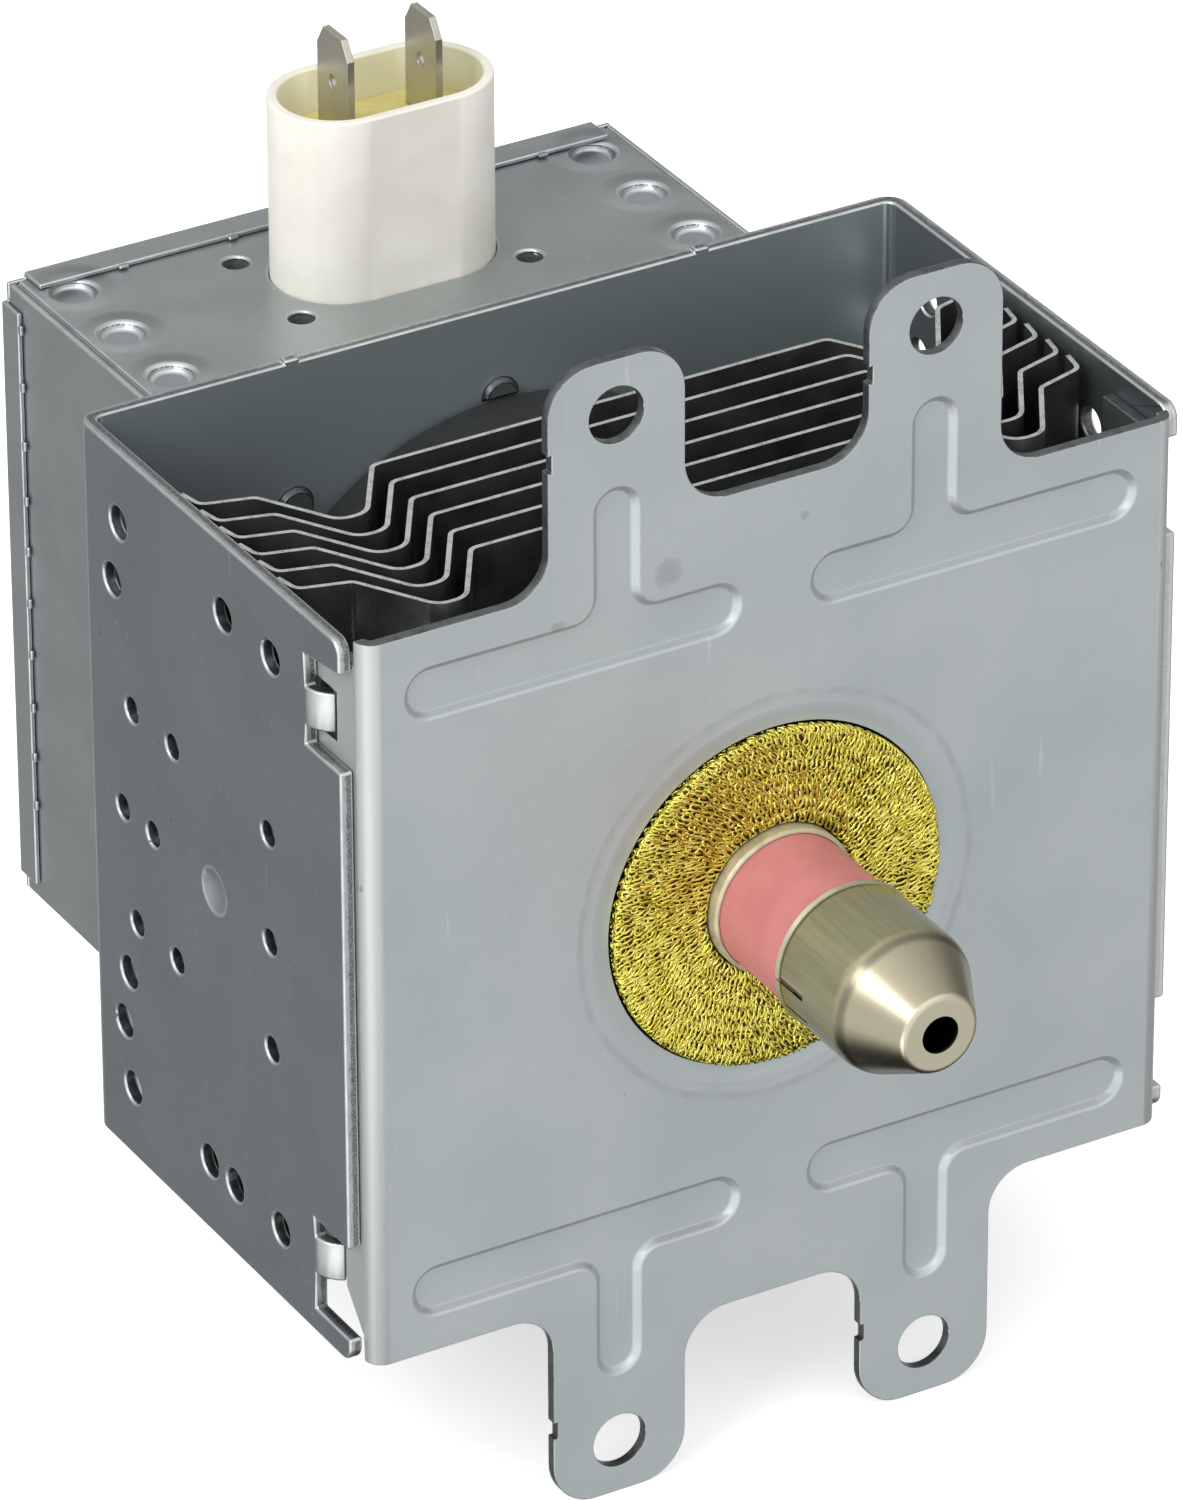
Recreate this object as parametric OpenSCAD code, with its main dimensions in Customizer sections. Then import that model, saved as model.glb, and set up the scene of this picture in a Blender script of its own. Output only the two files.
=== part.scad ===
// Magnetron tube of a microwave oven: yoke and magnets, cooled anode, output antenna and filter box.
// Millimetres. The origin lies on the tube axis at the mounting face. The antenna points along -Y,
// the plug tabs point along +Z.

/* [Yoke frame] */
// Outer width of the folded yoke
frame_w = 93.3; // [88:0.1:110]
// Height of the yoke
frame_h = 80.2; // [76:0.2:100]
// Depth from the mounting face to the back of the yoke
frame_d = 54.7; // [53:0.1:64]
// Sheet thickness of the yoke
frame_t = 1.4; // [1:0.1:1.8]
// Outer radius of the yoke's bends
frame_bend_r = 2.4; // [1.9:0.1:4]
// Distance of the side plates' front edge behind the mounting face
side_setback = 2; // [1:0.1:3]
// Diameter of the wide holes in the side plates
wide_hole_d = 3.5; // [2.5:0.1:4.5]
// Diameter of the small holes in the side plates
small_hole_d = 2.7; // [2:0.1:3.5]
// Distance of the outer hole rows from the top and bottom edges
outer_row = 8; // [6:0.1:10]
// Height of the middle hole rows above and below the axis
middle_row = 12.1; // [9:0.1:14]
// Diameter of the round dimple in each side plate
dimple_d = 5; // [3:0.1:7]
// Depth of that dimple
dimple_depth = 0.5; // [0.2:0.1:0.8]
// Height from a row of wide holes to the next hole beside it
hole_step = 7; // [5.5:0.1:8]
// Distance of the half-pierced studs from the middle plane
stud_x = 23.3; // [22.5:0.1:24]
// Distance of those studs above and below the axis
stud_z = 24.2; // [23.5:0.1:25]
// Diameter of the studs
stud_d = 3.7; // [3:0.1:5]
// Height of the studs
stud_h = 0.7; // [0.4:0.1:1]
// Width of the small burrs on the rear wall's cut edges
burr_w = 1.6; // [0.8:0.1:2.4]
// Height of the burrs
burr_h = 0.35; // [0.2:0.05:0.6]

/* [Corner joints] */
// Depth of the corner notches behind the mounting face
notch_d = 8.8; // [7.5:0.1:11]
// Height of a corner notch
notch_h = 10.4; // [8:0.1:13]
// Mean height of the upper corner legs
leg_h = 3.7; // [2.5:0.1:6]
// Height of the lower corner legs
low_leg_h = 2.7; // [2:0.1:6]
// Slant of the upper legs' lower edge, as a height
leg_slant = 1.3; // [0:0.1:2]
// Radius of the legs' front corners
leg_corner_r = 1.6; // [0.5:0.1:2]
// Width of the clinch tab in each notch
tab_w = 4.2; // [3:0.1:5]
// Distance of the tabs from the notches' middle, towards the axis
tab_shift = 1; // [0:0.1:1.4]
// Outer bend radius of a clinch tab
tab_bend_r = 3.2; // [2.6:0.1:4]
// Angle through which a clinch tab is bent inwards
tab_angle = 66; // [40:1:75]
// Clearance round a clinch tab in the front plate's window
window_gap = 0.6; // [0.3:0.1:1.2]
// Distance of the flanges' upper ends below the front plate's edge
flange_inset = 2.6; // [1:0.1:3]

/* [Front plate] */
// Sheet thickness of the front plate
plate_t = 1.2; // [0.8:0.1:1.6]
// Outer radius of the bend to the side flanges
plate_bend_r = 1.9; // [1.7:0.1:4]
// Depth of the side flanges behind the mounting face
flange_d = 11.5; // [10.5:0.1:12.5]
// Distance between the mounting holes across the plate
mount_pitch_x = 35.2; // [30:0.1:42]
// Distance between the mounting holes over the height
mount_pitch_z = 114.9; // [110:0.1:140]
// Diameter of the mounting holes
mount_hole_d = 5.9; // [4:0.1:7]
// Width of a mounting ear
ear_w = 15; // [12:0.1:20]
// Distance from a mounting hole's centre to the ear's end
ear_end = 5.95; // [5:0.05:9]
// Radius of the ears' outer corners
ear_corner_r = 5; // [2:0.1:5.5]
// Radius where an ear runs into the plate's edge
ear_root_r = 4.5; // [1:0.1:6]
// Rise of the saddle between two ears above the plate's edge
saddle_rise = 5.4; // [2:0.1:8]
// Radius at the ends of the saddle
saddle_r = 4.8; // [1:0.1:5]
// Size of the shear mark on each ear's edge
shear_mark = 0.45; // [0.2:0.05:0.8]
// Depth of the pressed ribs
rib_depth = 0.7; // [0.3:0.1:1]
// Width of the ribs' stems
rib_w = 5; // [3.5:0.1:6]
// Further width of the ribs' bars
rib_more = 0.7; // [0:0.1:1.2]
// Slope of the ribs' sides, as a width
rib_slope = 0.6; // [0.2:0.1:1]
// Radius in the inner corners of the ribs
rib_corner_r = 2.2; // [1:0.1:3]
// Distance of the ribs' bars from the plate's edge
rib_edge = 6.8; // [5:0.1:9]
// Distance of the bars' inner ends from the middle of the plate
rib_inner = 4.2; // [2:0.1:8]
// Distance of the bars' outer ends from the plate's side
rib_side = 4.8; // [4:0.1:8]
// Distance between a rib's stem end and the mounting hole's centre
rib_hole_gap = 7.75; // [6:0.1:10]

/* [Magnets] */
// Diameter of the front ring magnet
front_magnet_d = 49; // [44:0.5:51]
// Diameter of the rear ring magnet
rear_magnet_d = 60.4; // [50:0.2:62]
// Bore of both ring magnets
magnet_bore = 22; // [19.5:0.5:26]
// Thickness of both ring magnets
magnet_t = 12.4; // [11:0.1:13]
// Radius on the magnets' edges
magnet_edge = 0.8; // [0.3:0.1:1.5]

/* [Anode and fins] */
// Outer diameter of the anode cylinder
anode_d = 39; // [38:0.2:42]
// Wall of the anode cylinder
anode_wall = 2; // [1.8:0.1:2.6]
// Number of vanes
vane_count = 10; // [10:2:10]
// Height of the vanes along the axis
vane_h = 9.5; // [8:0.1:11]
// Thickness of a vane
vane_t = 2; // [1.4:0.1:2.2]
// Diameter of the space between the vane tips
vane_bore = 9; // [8.6:0.1:10]
// Width of a strap ring's section, across the radius
strap_w = 0.7; // [0.5:0.1:0.9]
// Height of a strap ring's section, along the axis
strap_h = 1.2; // [0.8:0.1:1.4]
// Mean radius of the inner strap rings
strap_inner_r = 6; // [5.8:0.1:6.3]
// Mean radius of the outer strap rings
strap_outer_r = 7.7; // [7.6:0.1:8.2]
// Free depth over the straps at a vane's ends
strap_inset = 0.3; // [0.2:0.1:0.5]
// Clearance round a strap where it passes a vane
strap_clear = 0.5; // [0.3:0.1:0.6]
// Number of cooling fins
fin_count = 6; // [6:1:6]
// Sheet thickness of the fins
fin_t = 0.5; // [0.4:0.1:0.7]
// Distance of the fins' edges inside the yoke's edges
fin_recess = 1.3; // [0.5:0.1:4]
// Free length of the anode behind the last fin
fin_rear_gap = 7.2; // [5:0.1:9]
// Distance from the front magnet's rim to the first bend of a fin
fin_magnet_gap = 1.1; // [0.8:0.1:1.6]
// Depth of the fold beside the magnet
fin_dip = 8; // [4:0.1:9]
// Width of the fold's inner slope
fin_slope_w = 5; // [4:0.1:5.5]
// Width of the fold's floor
fin_floor_w = 3; // [2.5:0.1:4]
// Width of the fold's outer slope
fin_rise_w = 4.8; // [4:0.1:5.5]
// Clearance between a fin's lip and the yoke's wall
fin_wall_gap = 0.8; // [0.3:0.1:1.2]
// Bend radius of the fins
fin_bend_r = 1.2; // [0.6:0.1:1.4]
// Bend radius at the fold's floor
fin_floor_r = 2.2; // [1.2:0.1:2.2]
// Length of the lip that lies along the yoke's wall
fin_lip = 2.8; // [1.5:0.1:3.2]
// Length of the collar round the anode
fin_collar = 2.6; // [1:0.1:3]

/* [Tube] */
// Thickness of the seal flanges against the magnets
seal_t = 0.5; // [0.3:0.1:0.8]
// Wall of the seal sleeves
seal_wall = 0.6; // [0.4:0.1:0.8]
// Bend radius of the seal sleeves
seal_bend = 1.2; // [0.8:0.1:1.6]
// Thickness of the pole pieces
pole_t = 1.6; // [1.2:0.1:2]
// Bore of the pole pieces
pole_bore = 9.6; // [9:0.1:10]
// Diameter of a pole piece's tip
pole_tip_d = 15; // [13:0.1:17]
// Distance between a pole tip and the vanes
pole_gap = 1.9; // [1.5:0.1:2.5]
// Mean diameter of the filament
filament_d = 3.9; // [3.4:0.1:4.2]
// Wire diameter of the filament
filament_wire = 0.5; // [0.4:0.05:0.6]
// Turns of the filament
filament_turns = 8; // [6:1:9]
// Diameter of the end shields
hat_d = 7.4; // [6.8:0.1:7.8]
// Thickness of the end shields
hat_t = 1.2; // [0.8:0.1:1.4]
// Diameter of the cathode's lead rods
lead_d = 1.5; // [1:0.1:1.6]
// Distance of the lead rods from the axis at the stem
lead_offset = 4; // [3.2:0.1:4.4]
// Length of the lead rods behind the terminal plates
lead_tail = 1.5; // [0.8:0.1:2.5]
// Diameter of the stem sleeve
stem_d = 17.2; // [16.6:0.1:18]
// Distance from the yoke's back to the stem ceramic's seat
stem_seat = 3; // [2:0.1:5]
// Height of the stem ceramic
stem_h = 8; // [6:0.1:10]
// Thickness of the stem's terminal plates
stem_plate_t = 0.8; // [0.5:0.1:1.2]

/* [Antenna] */
// Diameter of the output sleeve
sleeve_d = 15.8; // [15.8:0.1:18]
// Height of the output sleeve's rim in front of the mounting face
sleeve_rim = 2; // [1.6:0.1:3]
// Depth of the ceramic's seat inside the rim
seat_depth = 0.6; // [0.3:0.1:1]
// Diameter of the output ceramic
ceramic_d = 14.8; // [14:0.1:15]
// Wall of the output ceramic
ceramic_wall = 1.9; // [1.5:0.1:2.4]
// Height of the output ceramic's end in front of the mounting face
ceramic_end = 15.6; // [15:0.1:17]
// Diameter of the antenna cap
cap_d = 15.6; // [15.4:0.1:17]
// Wall of the antenna cap
cap_wall = 0.35; // [0.2:0.05:0.4]
// Height of the cap's rear rim in front of the mounting face
cap_rim = 13.2; // [12:0.1:14.5]
// Flare of the cap's rear rim
cap_lip = 0.15; // [0.05:0.05:0.3]
// Length of the two slits in the cap's rim
slit_l = 4.8; // [3:0.1:6]
// Width of the slits
slit_w = 0.35; // [0.15:0.05:0.4]
// Direction of the first slit about the axis
slit_angle = 182; // [150:1:210]
// Angle between the slits
slit_spread = 21; // [10:1:40]
// Height of the cap's shoulder
cap_shoulder = 23.4; // [22:0.1:25]
// Height of the cap's tip
cap_tip = 30.5; // [29.5:0.1:34]
// Diameter of the cap's flat tip
cap_tip_d = 8.2; // [7:0.1:9]
// Diameter of the hole in the tip
cap_hole_d = 4; // [2:0.1:5]
// Bend radius at the cap's shoulder
cap_shoulder_r = 3; // [1:0.1:4]
// Bend radius at the cap's tip
cap_tip_r = 0.7; // [0.4:0.1:1]
// Diameter of the copper exhaust tube
exhaust_d = 8; // [7:0.1:8.4]
// Depth of the skirt over the ceramic's end
ferrule_h = 3; // [2:0.1:5]
// Distance of the pinched part behind the cap's shoulder
pinch_setback = 1; // [0.5:0.1:3]
// Distance of the pinched end behind the cap's tip
pinch_drop = 3.5; // [2.5:0.1:5]
// Diameter of the antenna lead
antenna_lead_d = 2; // [1.4:0.1:2.4]
// Distance of the antenna lead from the axis at the vanes
antenna_lead_offset = 10.5; // [9.8:0.1:11.5]

/* [Gasket] */
// Outer diameter of the knitted gasket
gasket_d = 36.9; // [32:0.1:40]
// Height of the gasket in front of the mounting face
gasket_proud = 1; // [0.5:0.1:2]
// Radius on the gasket's front edges
gasket_edge = 0.8; // [0.4:0.1:1]
// Width of the coined ring round the gasket
coin_w = 2; // [1:0.1:3]
// Depth of that ring
coin_depth = 0.15; // [0.05:0.05:0.3]

/* [Filter box] */
// Width of the filter box
box_w = 69.8; // [66:0.2:80]
// Height of the filter box
box_h = 70.3; // [69:0.1:78]
// Depth of the filter box
box_d = 37.2; // [35:0.1:45]
// Height of the box's top above the tube axis
box_top = 34.8; // [34:0.1:38]
// Sheet thickness of the box
box_t = 0.7; // [0.5:0.1:0.9]
// Sheet thickness of the lid
lid_t = 0.5; // [0.4:0.1:0.8]
// Width of the folded flaps under the box's top
flap_w = 9; // [7.5:0.1:10]
// Diameter of the round clinch joints on the top
clinch_d = 5; // [4.4:0.1:5.6]
// Diameter of their floors
clinch_floor_d = 4; // [3:0.1:4.2]
// Depth of those joints
clinch_depth = 0.9; // [0.4:0.05:0.95]
// Distance between neighbouring clinch joints
clinch_pitch = 10.3; // [8:0.1:11]
// Width of the seam groove along the box's top edges
seam_w = 0.3; // [0.2:0.1:0.5]
// Depth of the lid's flanges over the box
lid_overlap = 2.9; // [2:0.1:5]
// Distance of the lid's flanges from the corners
lid_corner = 2; // [1:0.1:4]

/* [Capacitor] */
// Length of the oval case
case_l = 24; // [22:0.1:27]
// Width of the oval case
case_w = 14; // [13:0.1:16]
// Wall of the oval case
case_wall = 1.1; // [0.8:0.1:1.5]
// Height of the case above the box
case_h = 19.9; // [16:0.1:26]
// Distance of the case's middle behind the yoke
case_back = 22.3; // [20:0.1:24]
// Depth of the resin below the case's rim
resin_drop = 4.8; // [3:0.1:7]
// Thickness of the resin layer
resin_t = 5.6; // [4:0.1:7]
// Distance between the two plug tabs
plug_pitch = 10; // [9:0.1:11]
// Width of a plug tab
plug_w = 6.3; // [5:0.1:6.4]
// Thickness of a plug tab
plug_t = 0.8; // [0.5:0.1:1]
// Height of the plug tabs above the case's rim
plug_rise = 6.7; // [4:0.1:10]
// Diameter of the hole in a plug tab
plug_hole_d = 1.5; // [1:0.1:2]
// Diameter of the feed rods
rod_d = 2; // [1.5:0.1:2.4]
// Height of the insulating base under the box's top
base_h = 11; // [8:0.1:14]
// Free length of the feed rods below the base
rod_free = 4; // [3:0.1:6]
// Distance between the fixing holes along the case
fix_pitch_x = 26.2; // [25:0.1:30]
// Distance between the fixing holes across the case
fix_pitch_y = 13.7; // [12:0.1:16]
// Diameter of the fixing holes
fix_hole_d = 2.7; // [2:0.1:3.2]
// Thickness of the earth plate under the box's top
earth_t = 0.8; // [0.5:0.1:1.2]

/* [Choke coils] */
// Mean diameter of a choke coil
choke_d = 8.4; // [7.4:0.1:9]
// Wire diameter of a choke coil
choke_wire = 1.5; // [1.2:0.1:1.6]
// Turns of a choke coil
choke_turns = 11; // [8:1:12]
// Pitch of a choke coil's turns
choke_pitch = 2; // [1.8:0.1:2.2]
// Distance of the choke coils from the middle of the box
choke_x = 18; // [15:0.1:20]
// Height of the choke coils' lower ends, against the tube axis
choke_foot = -15; // [-19:0.1:-12]
// Length of a ferrite core
core_l = 20; // [14:0.1:24]

/* [Fits] */
// Clearance between pieces that are pushed together
fit = 0.1; // [0.05:0.01:0.2]
// Clearance between the stem sleeve and the sheets that it passes through
stem_clear = 1; // [0.5:0.1:1.5]
// Clearance between the gasket and the front plate
gasket_fit = 0.15; // [0.1:0.05:0.3]

/* [Hidden] */
$fn = 72;
// Overshoot of a cut past the surface that it opens
cut = 0.4;
half_w = frame_w / 2;
half_h = frame_h / 2;
wall_x = half_w - frame_t;
rear_in = frame_d - frame_t;
flange_x = wall_x - fit;
ear_x = mount_pitch_x / 2;
hole_z = mount_pitch_z / 2;
front_magnet_end = plate_t + magnet_t;
rear_magnet_start = rear_in - magnet_t;
anode_front = front_magnet_end + seal_t;
anode_rear = rear_magnet_start - seal_t;
anode_mid = (anode_front + anode_rear) / 2;
anode_r = anode_d / 2;
cavity_r = anode_r - anode_wall;
vane_front = anode_mid - vane_h / 2;
vane_rear = anode_mid + vane_h / 2;
pole_rim_r = cavity_r + anode_wall / 2;
gasket_hole_r = gasket_d / 2 + gasket_fit;
seat_h = sleeve_rim - seat_depth;
box_front = frame_d;
box_rear = frame_d + box_d;
box_end = box_rear - lid_t - fit;
box_half = box_w / 2;
box_low = box_top - box_h;
top_in = box_top - box_t;
stem_hole_r = stem_d / 2 + stem_clear;
stem_seat_y = frame_d + stem_seat;
stem_end = stem_seat_y + stem_h;
stem_plate_end = stem_end + stem_plate_t;
case_y = frame_d + case_back;
case_rim = box_top + case_h;
resin_top = case_rim - resin_drop;
resin_foot = resin_top - resin_t;
base_foot = top_in - earth_t - base_h;
rod_foot = base_foot - rod_free;
fin_first = front_magnet_end + fin_t / 2 + fit;
fin_pitch = (anode_rear - fin_rear_gap - fin_first) / (fin_count - 1);
fin_flat = front_magnet_d / 2 + fin_magnet_gap;
notch_z = half_h - leg_h - notch_h / 2;
low_notch_z = -half_h + low_leg_h + notch_h / 2;
tab_z = notch_z - tab_shift;
low_tab_z = low_notch_z + tab_shift;
stud_root = (frame_t - stud_h) / 2;
hole_run = frame_d - notch_d;

steel = "#aab0b2";
dark_steel = "#8a9092";
iron = "#6f7476";
ferrite = "#3c4042";
copper = "#b87350";
aluminium = "#9da1a3";
nickel = "#b3ad9e";
ivory = "#ebe6dc";

FIN_NAMES = [for (i = [1:fin_count]) str("cooling_fin_", i)];
VANE_NAMES = [for (i = [1:vane_count]) str("anode_vane_", i)];

// Helpers

// Copies of a shape on both sides of the middle plane
module both_x() {
    children();
    mirror([1, 0, 0]) children();
}

// Copies of a shape above and below the axis
module both_z() {
    children();
    mirror([0, 0, 1]) children();
}

// Outline in X and Z, made a sheet from depth y backwards
module upright(y, t) {
    translate([0, y + t, 0]) rotate([90, 0, 0]) linear_extrude(t) children();
}

// Outline in Y and Z, made a sheet from x to the right
module sideways(x, t) {
    translate([x, 0, 0]) rotate([90, 0, 90]) linear_extrude(t) children();
}

// Round bar along the tube axis
module bar_y(y, length, r) {
    translate([0, y, 0]) rotate([-90, 0, 0]) cylinder(h = length, r = r);
}

// Ring along the tube axis
module ring_y(y, length, outer_r, inner_r) {
    difference() {
        bar_y(y, length, outer_r);
        bar_y(y - cut, length + 2 * cut, inner_r);
    }
}

// Section in radius and depth, turned about the tube axis
module turned() {
    rotate([-90, 0, 0]) rotate_extrude() children();
}

// Rectangle whose two far corners are rounded
module soft_end(w, near, far, r) {
    translate([-w / 2, near]) square([w, far - near - r]);
    translate([-w / 2 + r, near]) square([w - 2 * r, far - near]);
    for (side = [-1, 1]) translate([side * (w / 2 - r), far - r]) circle(r);
}

// Folded channel in plan: closed at the far end, open at the near end
module channel(w, near, far, t, r) {
    difference() {
        soft_end(w, near, far, r);
        soft_end(w - 2 * t, near - cut, far - t, r - t);
    }
}

// Material that fills an inner corner to a radius
module corner_fill(r) {
    difference() {
        translate([-cut, -cut]) square(r + cut);
        translate([r, r]) circle(r);
    }
}

// Oval outline with round ends
module oval(length, w) {
    square([length - w, w], center = true);
    for (side = [-1, 1]) translate([side * (length - w) / 2, 0]) circle(w / 2);
}

function unit(v) = v / norm(v);

// Arc that replaces corner b of the path a, b, c
function arc_points(a, b, c, r, steps = 6) =
    let (u = unit(a - b), v = unit(c - b), half = acos(u * v) / 2)
    let (centre = b + unit(u + v) * r / sin(half))
    let (from = b + u * r / tan(half) - centre, to = b + v * r / tan(half) - centre)
    let (start = atan2(from.y, from.x), swing = atan2(cross(from, to), from * to))
    [for (k = [0:steps]) centre + r * [cos(start + swing * k / steps), sin(start + swing * k / steps)]];

// Path with its corners rounded, radii[i] at corner i + 1
function rounded(path, radii) = [
    path[0],
    for (i = [1:len(path) - 2]) each arc_points(path[i - 1], path[i], path[i + 1], radii[i - 1]),
    path[len(path) - 1]
];

function left_of(v) = [-v.y, v.x];

// Path moved sideways by a distance, to its left
function shifted(path, distance) = let (last = len(path) - 1) [
    for (i = [0:last])
        let (before = left_of(unit(path[max(i, 1)] - path[max(i, 1) - 1])))
        let (after = left_of(unit(path[min(i, last - 1) + 1] - path[min(i, last - 1)])))
        let (normal = unit(before + after))
        path[i] + normal * distance / (normal * before)
];

function reversed(list) = [for (i = [len(list) - 1:-1:0]) list[i]];

// Closed outline of a sheet between two sideways shifts of a path
function strip(path, one, other) = concat(shifted(path, one), reversed(shifted(path, other)));

// Turns of a coil about Z, from the ground upwards
function coil_points(r, pitch, turns, start, steps = 12) = [
    for (k = [0:turns * steps])
        let (turn = start + 360 * k / steps)
        [r * cos(turn), r * sin(turn), pitch * k / steps]
];

// Ring of points round a wire's path
function wire_ring(p, along, r, sides) =
    let (a = unit(cross(along, [0, 0, 1])), b = cross(a, along))
    [for (k = [0:sides - 1]) p + r * (a * cos(360 * k / sides) + b * sin(360 * k / sides))];

// Round wire along a path that never runs straight up
module wire(path, r, sides = 6) {
    last = len(path) - 1;
    rings = [for (i = [0:last])
        each wire_ring(path[i], unit(path[min(i + 1, last)] - path[max(i - 1, 0)]), r, sides)];
    skin = [for (i = [0:last - 1], k = [0:sides - 1])
        let (a = i * sides + k, b = i * sides + (k + 1) % sides)
        each [[a, b, b + sides], [a, b + sides, a + sides]]];
    ends = [[for (k = [sides - 1:-1:0]) k], [for (k = [0:sides - 1]) last * sides + k]];
    polyhedron(rings, concat(skin, ends));
}

// Straight rod between two points
module rod_between(a, b, r) {
    v = b - a;
    translate(a) rotate([0, acos(v.z / norm(v)), atan2(v.y, v.x)]) cylinder(h = norm(v), r = r);
}

// Rod bent at each inner point of a path
module bent_rod(path, r) {
    knuckle = 1.18;
    for (i = [0:len(path) - 2]) rod_between(path[i], path[i + 1], r);
    for (i = [1:len(path) - 2]) translate(path[i]) sphere(r * knuckle);
}

// Yoke

// Places of the wide holes: distance before the yoke's back as a share of the plate's run, height
row_z = half_h - outer_row;
wide_holes = [
    [0.854, row_z], [0.647, row_z], [0.185, row_z], [0.15, row_z - hole_step],
    [0.85, -row_z], [0.645, -row_z], [0.532, -row_z], [0.183, -row_z],
    [0.15, hole_step - row_z], [0.179, 1.9 * hole_step - row_z]
];
// Places of the small holes in the same way
small_holes = [
    for (z = [middle_row, -middle_row]) each [[0.826, z], [0.405, z], [0.224, z]],
    each [[0.826, 0], [0.307, 0], [0.172, 0]]
];
// Place of the dimple in the same way
dimple_share = 0.582;

module side_plate_openings() {
    for (p = wide_holes) translate([frame_d - p.x * hole_run, p.y]) circle(d = wide_hole_d);
    for (p = small_holes) translate([frame_d - p.x * hole_run, p.y]) circle(d = small_hole_d);
    translate([0, notch_z]) notch_outline(leg_slant);
    translate([0, low_notch_z]) notch_outline(0);
    for (side = [0, 1]) mirror([0, side])
        translate([side_setback, half_h]) mirror([0, 1]) corner_fill(leg_corner_r);
}

// Notch whose upper edge rises towards the front by a slant
module notch_outline(slant) {
    polygon([
        [-cut, -notch_h / 2], [notch_d, -notch_h / 2],
        [notch_d, notch_h / 2 - slant / 2], [-cut, notch_h / 2 + slant / 2]
    ]);
}

// Tab that curls inwards from the back of a notch
module clinch_tab(z) {
    reach = 2 * tab_bend_r;
    translate([half_w - tab_bend_r, notch_d, z - tab_w / 2]) linear_extrude(tab_w) {
        intersection() {
            difference() {
                circle(tab_bend_r);
                circle(tab_bend_r - frame_t);
            }
            polygon([[0, 0], [reach, 0], [reach * cos(tab_angle), -reach * sin(tab_angle)]]);
        }
        translate([tab_bend_r - frame_t, 0]) square([frame_t, cut]);
    }
}

module stud(x, z, y, r, h) {
    translate([x, 0, z]) bar_y(y, h, r);
}

// Studs at every place on the rear wall
module studs(y, r, h) {
    both_z() {
        stud(0, rear_magnet_d / 2, y, r, h);
        both_x() stud(stud_x, stud_z, y, r, h);
    }
}

module dimple() {
    r = (pow(dimple_d / 2, 2) + pow(dimple_depth, 2)) / (2 * dimple_depth);
    translate([half_w + r - dimple_depth, frame_d - dimple_share * hole_run, 0]) sphere(r);
}

module yoke_frame() color(dark_steel) {
    difference() {
        translate([0, 0, -half_h]) linear_extrude(frame_h)
            channel(frame_w, side_setback, frame_d, frame_t, frame_bend_r);
        both_x() sideways(wall_x - cut, frame_t + 2 * cut) side_plate_openings();
        both_x() dimple();
        bar_y(rear_in - cut, frame_t + 2 * cut, stem_hole_r);
        studs(frame_d - stud_h, stud_d / 2 - stud_h / 2, stud_h + cut);
    }
    both_x() clinch_tab(tab_z);
    both_x() clinch_tab(low_tab_z);
    difference() {
        studs(rear_in - stud_h, stud_d / 2, stud_h + stud_root);
        bar_y(rear_in - stud_h - cut, stud_h + cut, rear_magnet_d / 2 + fit);
    }
    both_x() both_z() translate([stud_x - burr_w / 2, rear_in, half_h - cut])
        cube([burr_w, frame_t, burr_h + cut]);
}

// Front plate

// Groove with sloped sides along X, its mouth at z = 0
module groove(length, w) {
    lip = rib_slope * cut / rib_depth;
    for (x = [0, length]) translate([x, 0, -rib_depth])
        cylinder(h = rib_depth + cut, r1 = w / 2 - rib_slope, r2 = w / 2 + lip);
    rotate([90, 0, 90]) linear_extrude(length) polygon([
        [-w / 2 - lip, cut], [w / 2 + lip, cut],
        [w / 2 - rib_slope, -rib_depth], [-w / 2 + rib_slope, -rib_depth]
    ]);
}

// Rounded inner corner between two grooves that cross at right angles
module groove_corner(r) {
    lip = rib_slope * cut / rib_depth;
    difference() {
        translate([-rib_slope, -rib_slope, -rib_depth])
            cube([r + rib_slope, r + rib_slope, rib_depth + cut]);
        translate([r, r, -rib_depth - cut])
            cylinder(h = rib_depth + 2 * cut, r1 = r + rib_slope + lip, r2 = r - lip);
    }
}

// T-shaped rib of one quarter of the plate, drawn in X and Z with its mouth at the mounting face
module t_rib(w) {
    bar_z = half_h - rib_edge;
    bar_start = rib_inner + rib_w / 2;
    bar_end = flange_x - rib_side - rib_w / 2;
    stem_end_z = hole_z - rib_hole_gap - rib_w / 2;
    rotate([90, 0, 0]) {
        translate([bar_start, bar_z, 0]) groove(bar_end - bar_start, w + rib_more);
        translate([ear_x, bar_z, 0]) rotate([0, 0, 90]) groove(stem_end_z - bar_z, w);
        for (side = [0, 1]) translate([ear_x, bar_z + (w + rib_more) / 2, 0])
            mirror([side, 0, 0]) translate([w / 2, 0, 0]) groove_corner(rib_corner_r);
    }
}

// Outline of the ears on the upper edge and the saddle between them
module ear_pair() {
    foot = half_h - plate_bend_r;
    inner_x = ear_x - ear_w / 2;
    outer_x = ear_x + ear_w / 2;
    for (side = [-1, 1]) translate([side * ear_x, 0]) soft_end(ear_w, foot, hole_z + ear_end, ear_corner_r);
    translate([-inner_x - cut, foot]) square([2 * (inner_x + cut), half_h + saddle_rise - foot]);
    for (side = [0, 1]) mirror([side, 0]) {
        translate([outer_x, half_h]) corner_fill(ear_root_r);
        translate([inner_x, half_h + saddle_rise]) mirror([1, 0]) corner_fill(saddle_r);
    }
}

module mounting_holes() {
    for (x = [-ear_x, ear_x], z = [-hole_z, hole_z]) translate([x, z]) circle(d = mount_hole_d);
}

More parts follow.
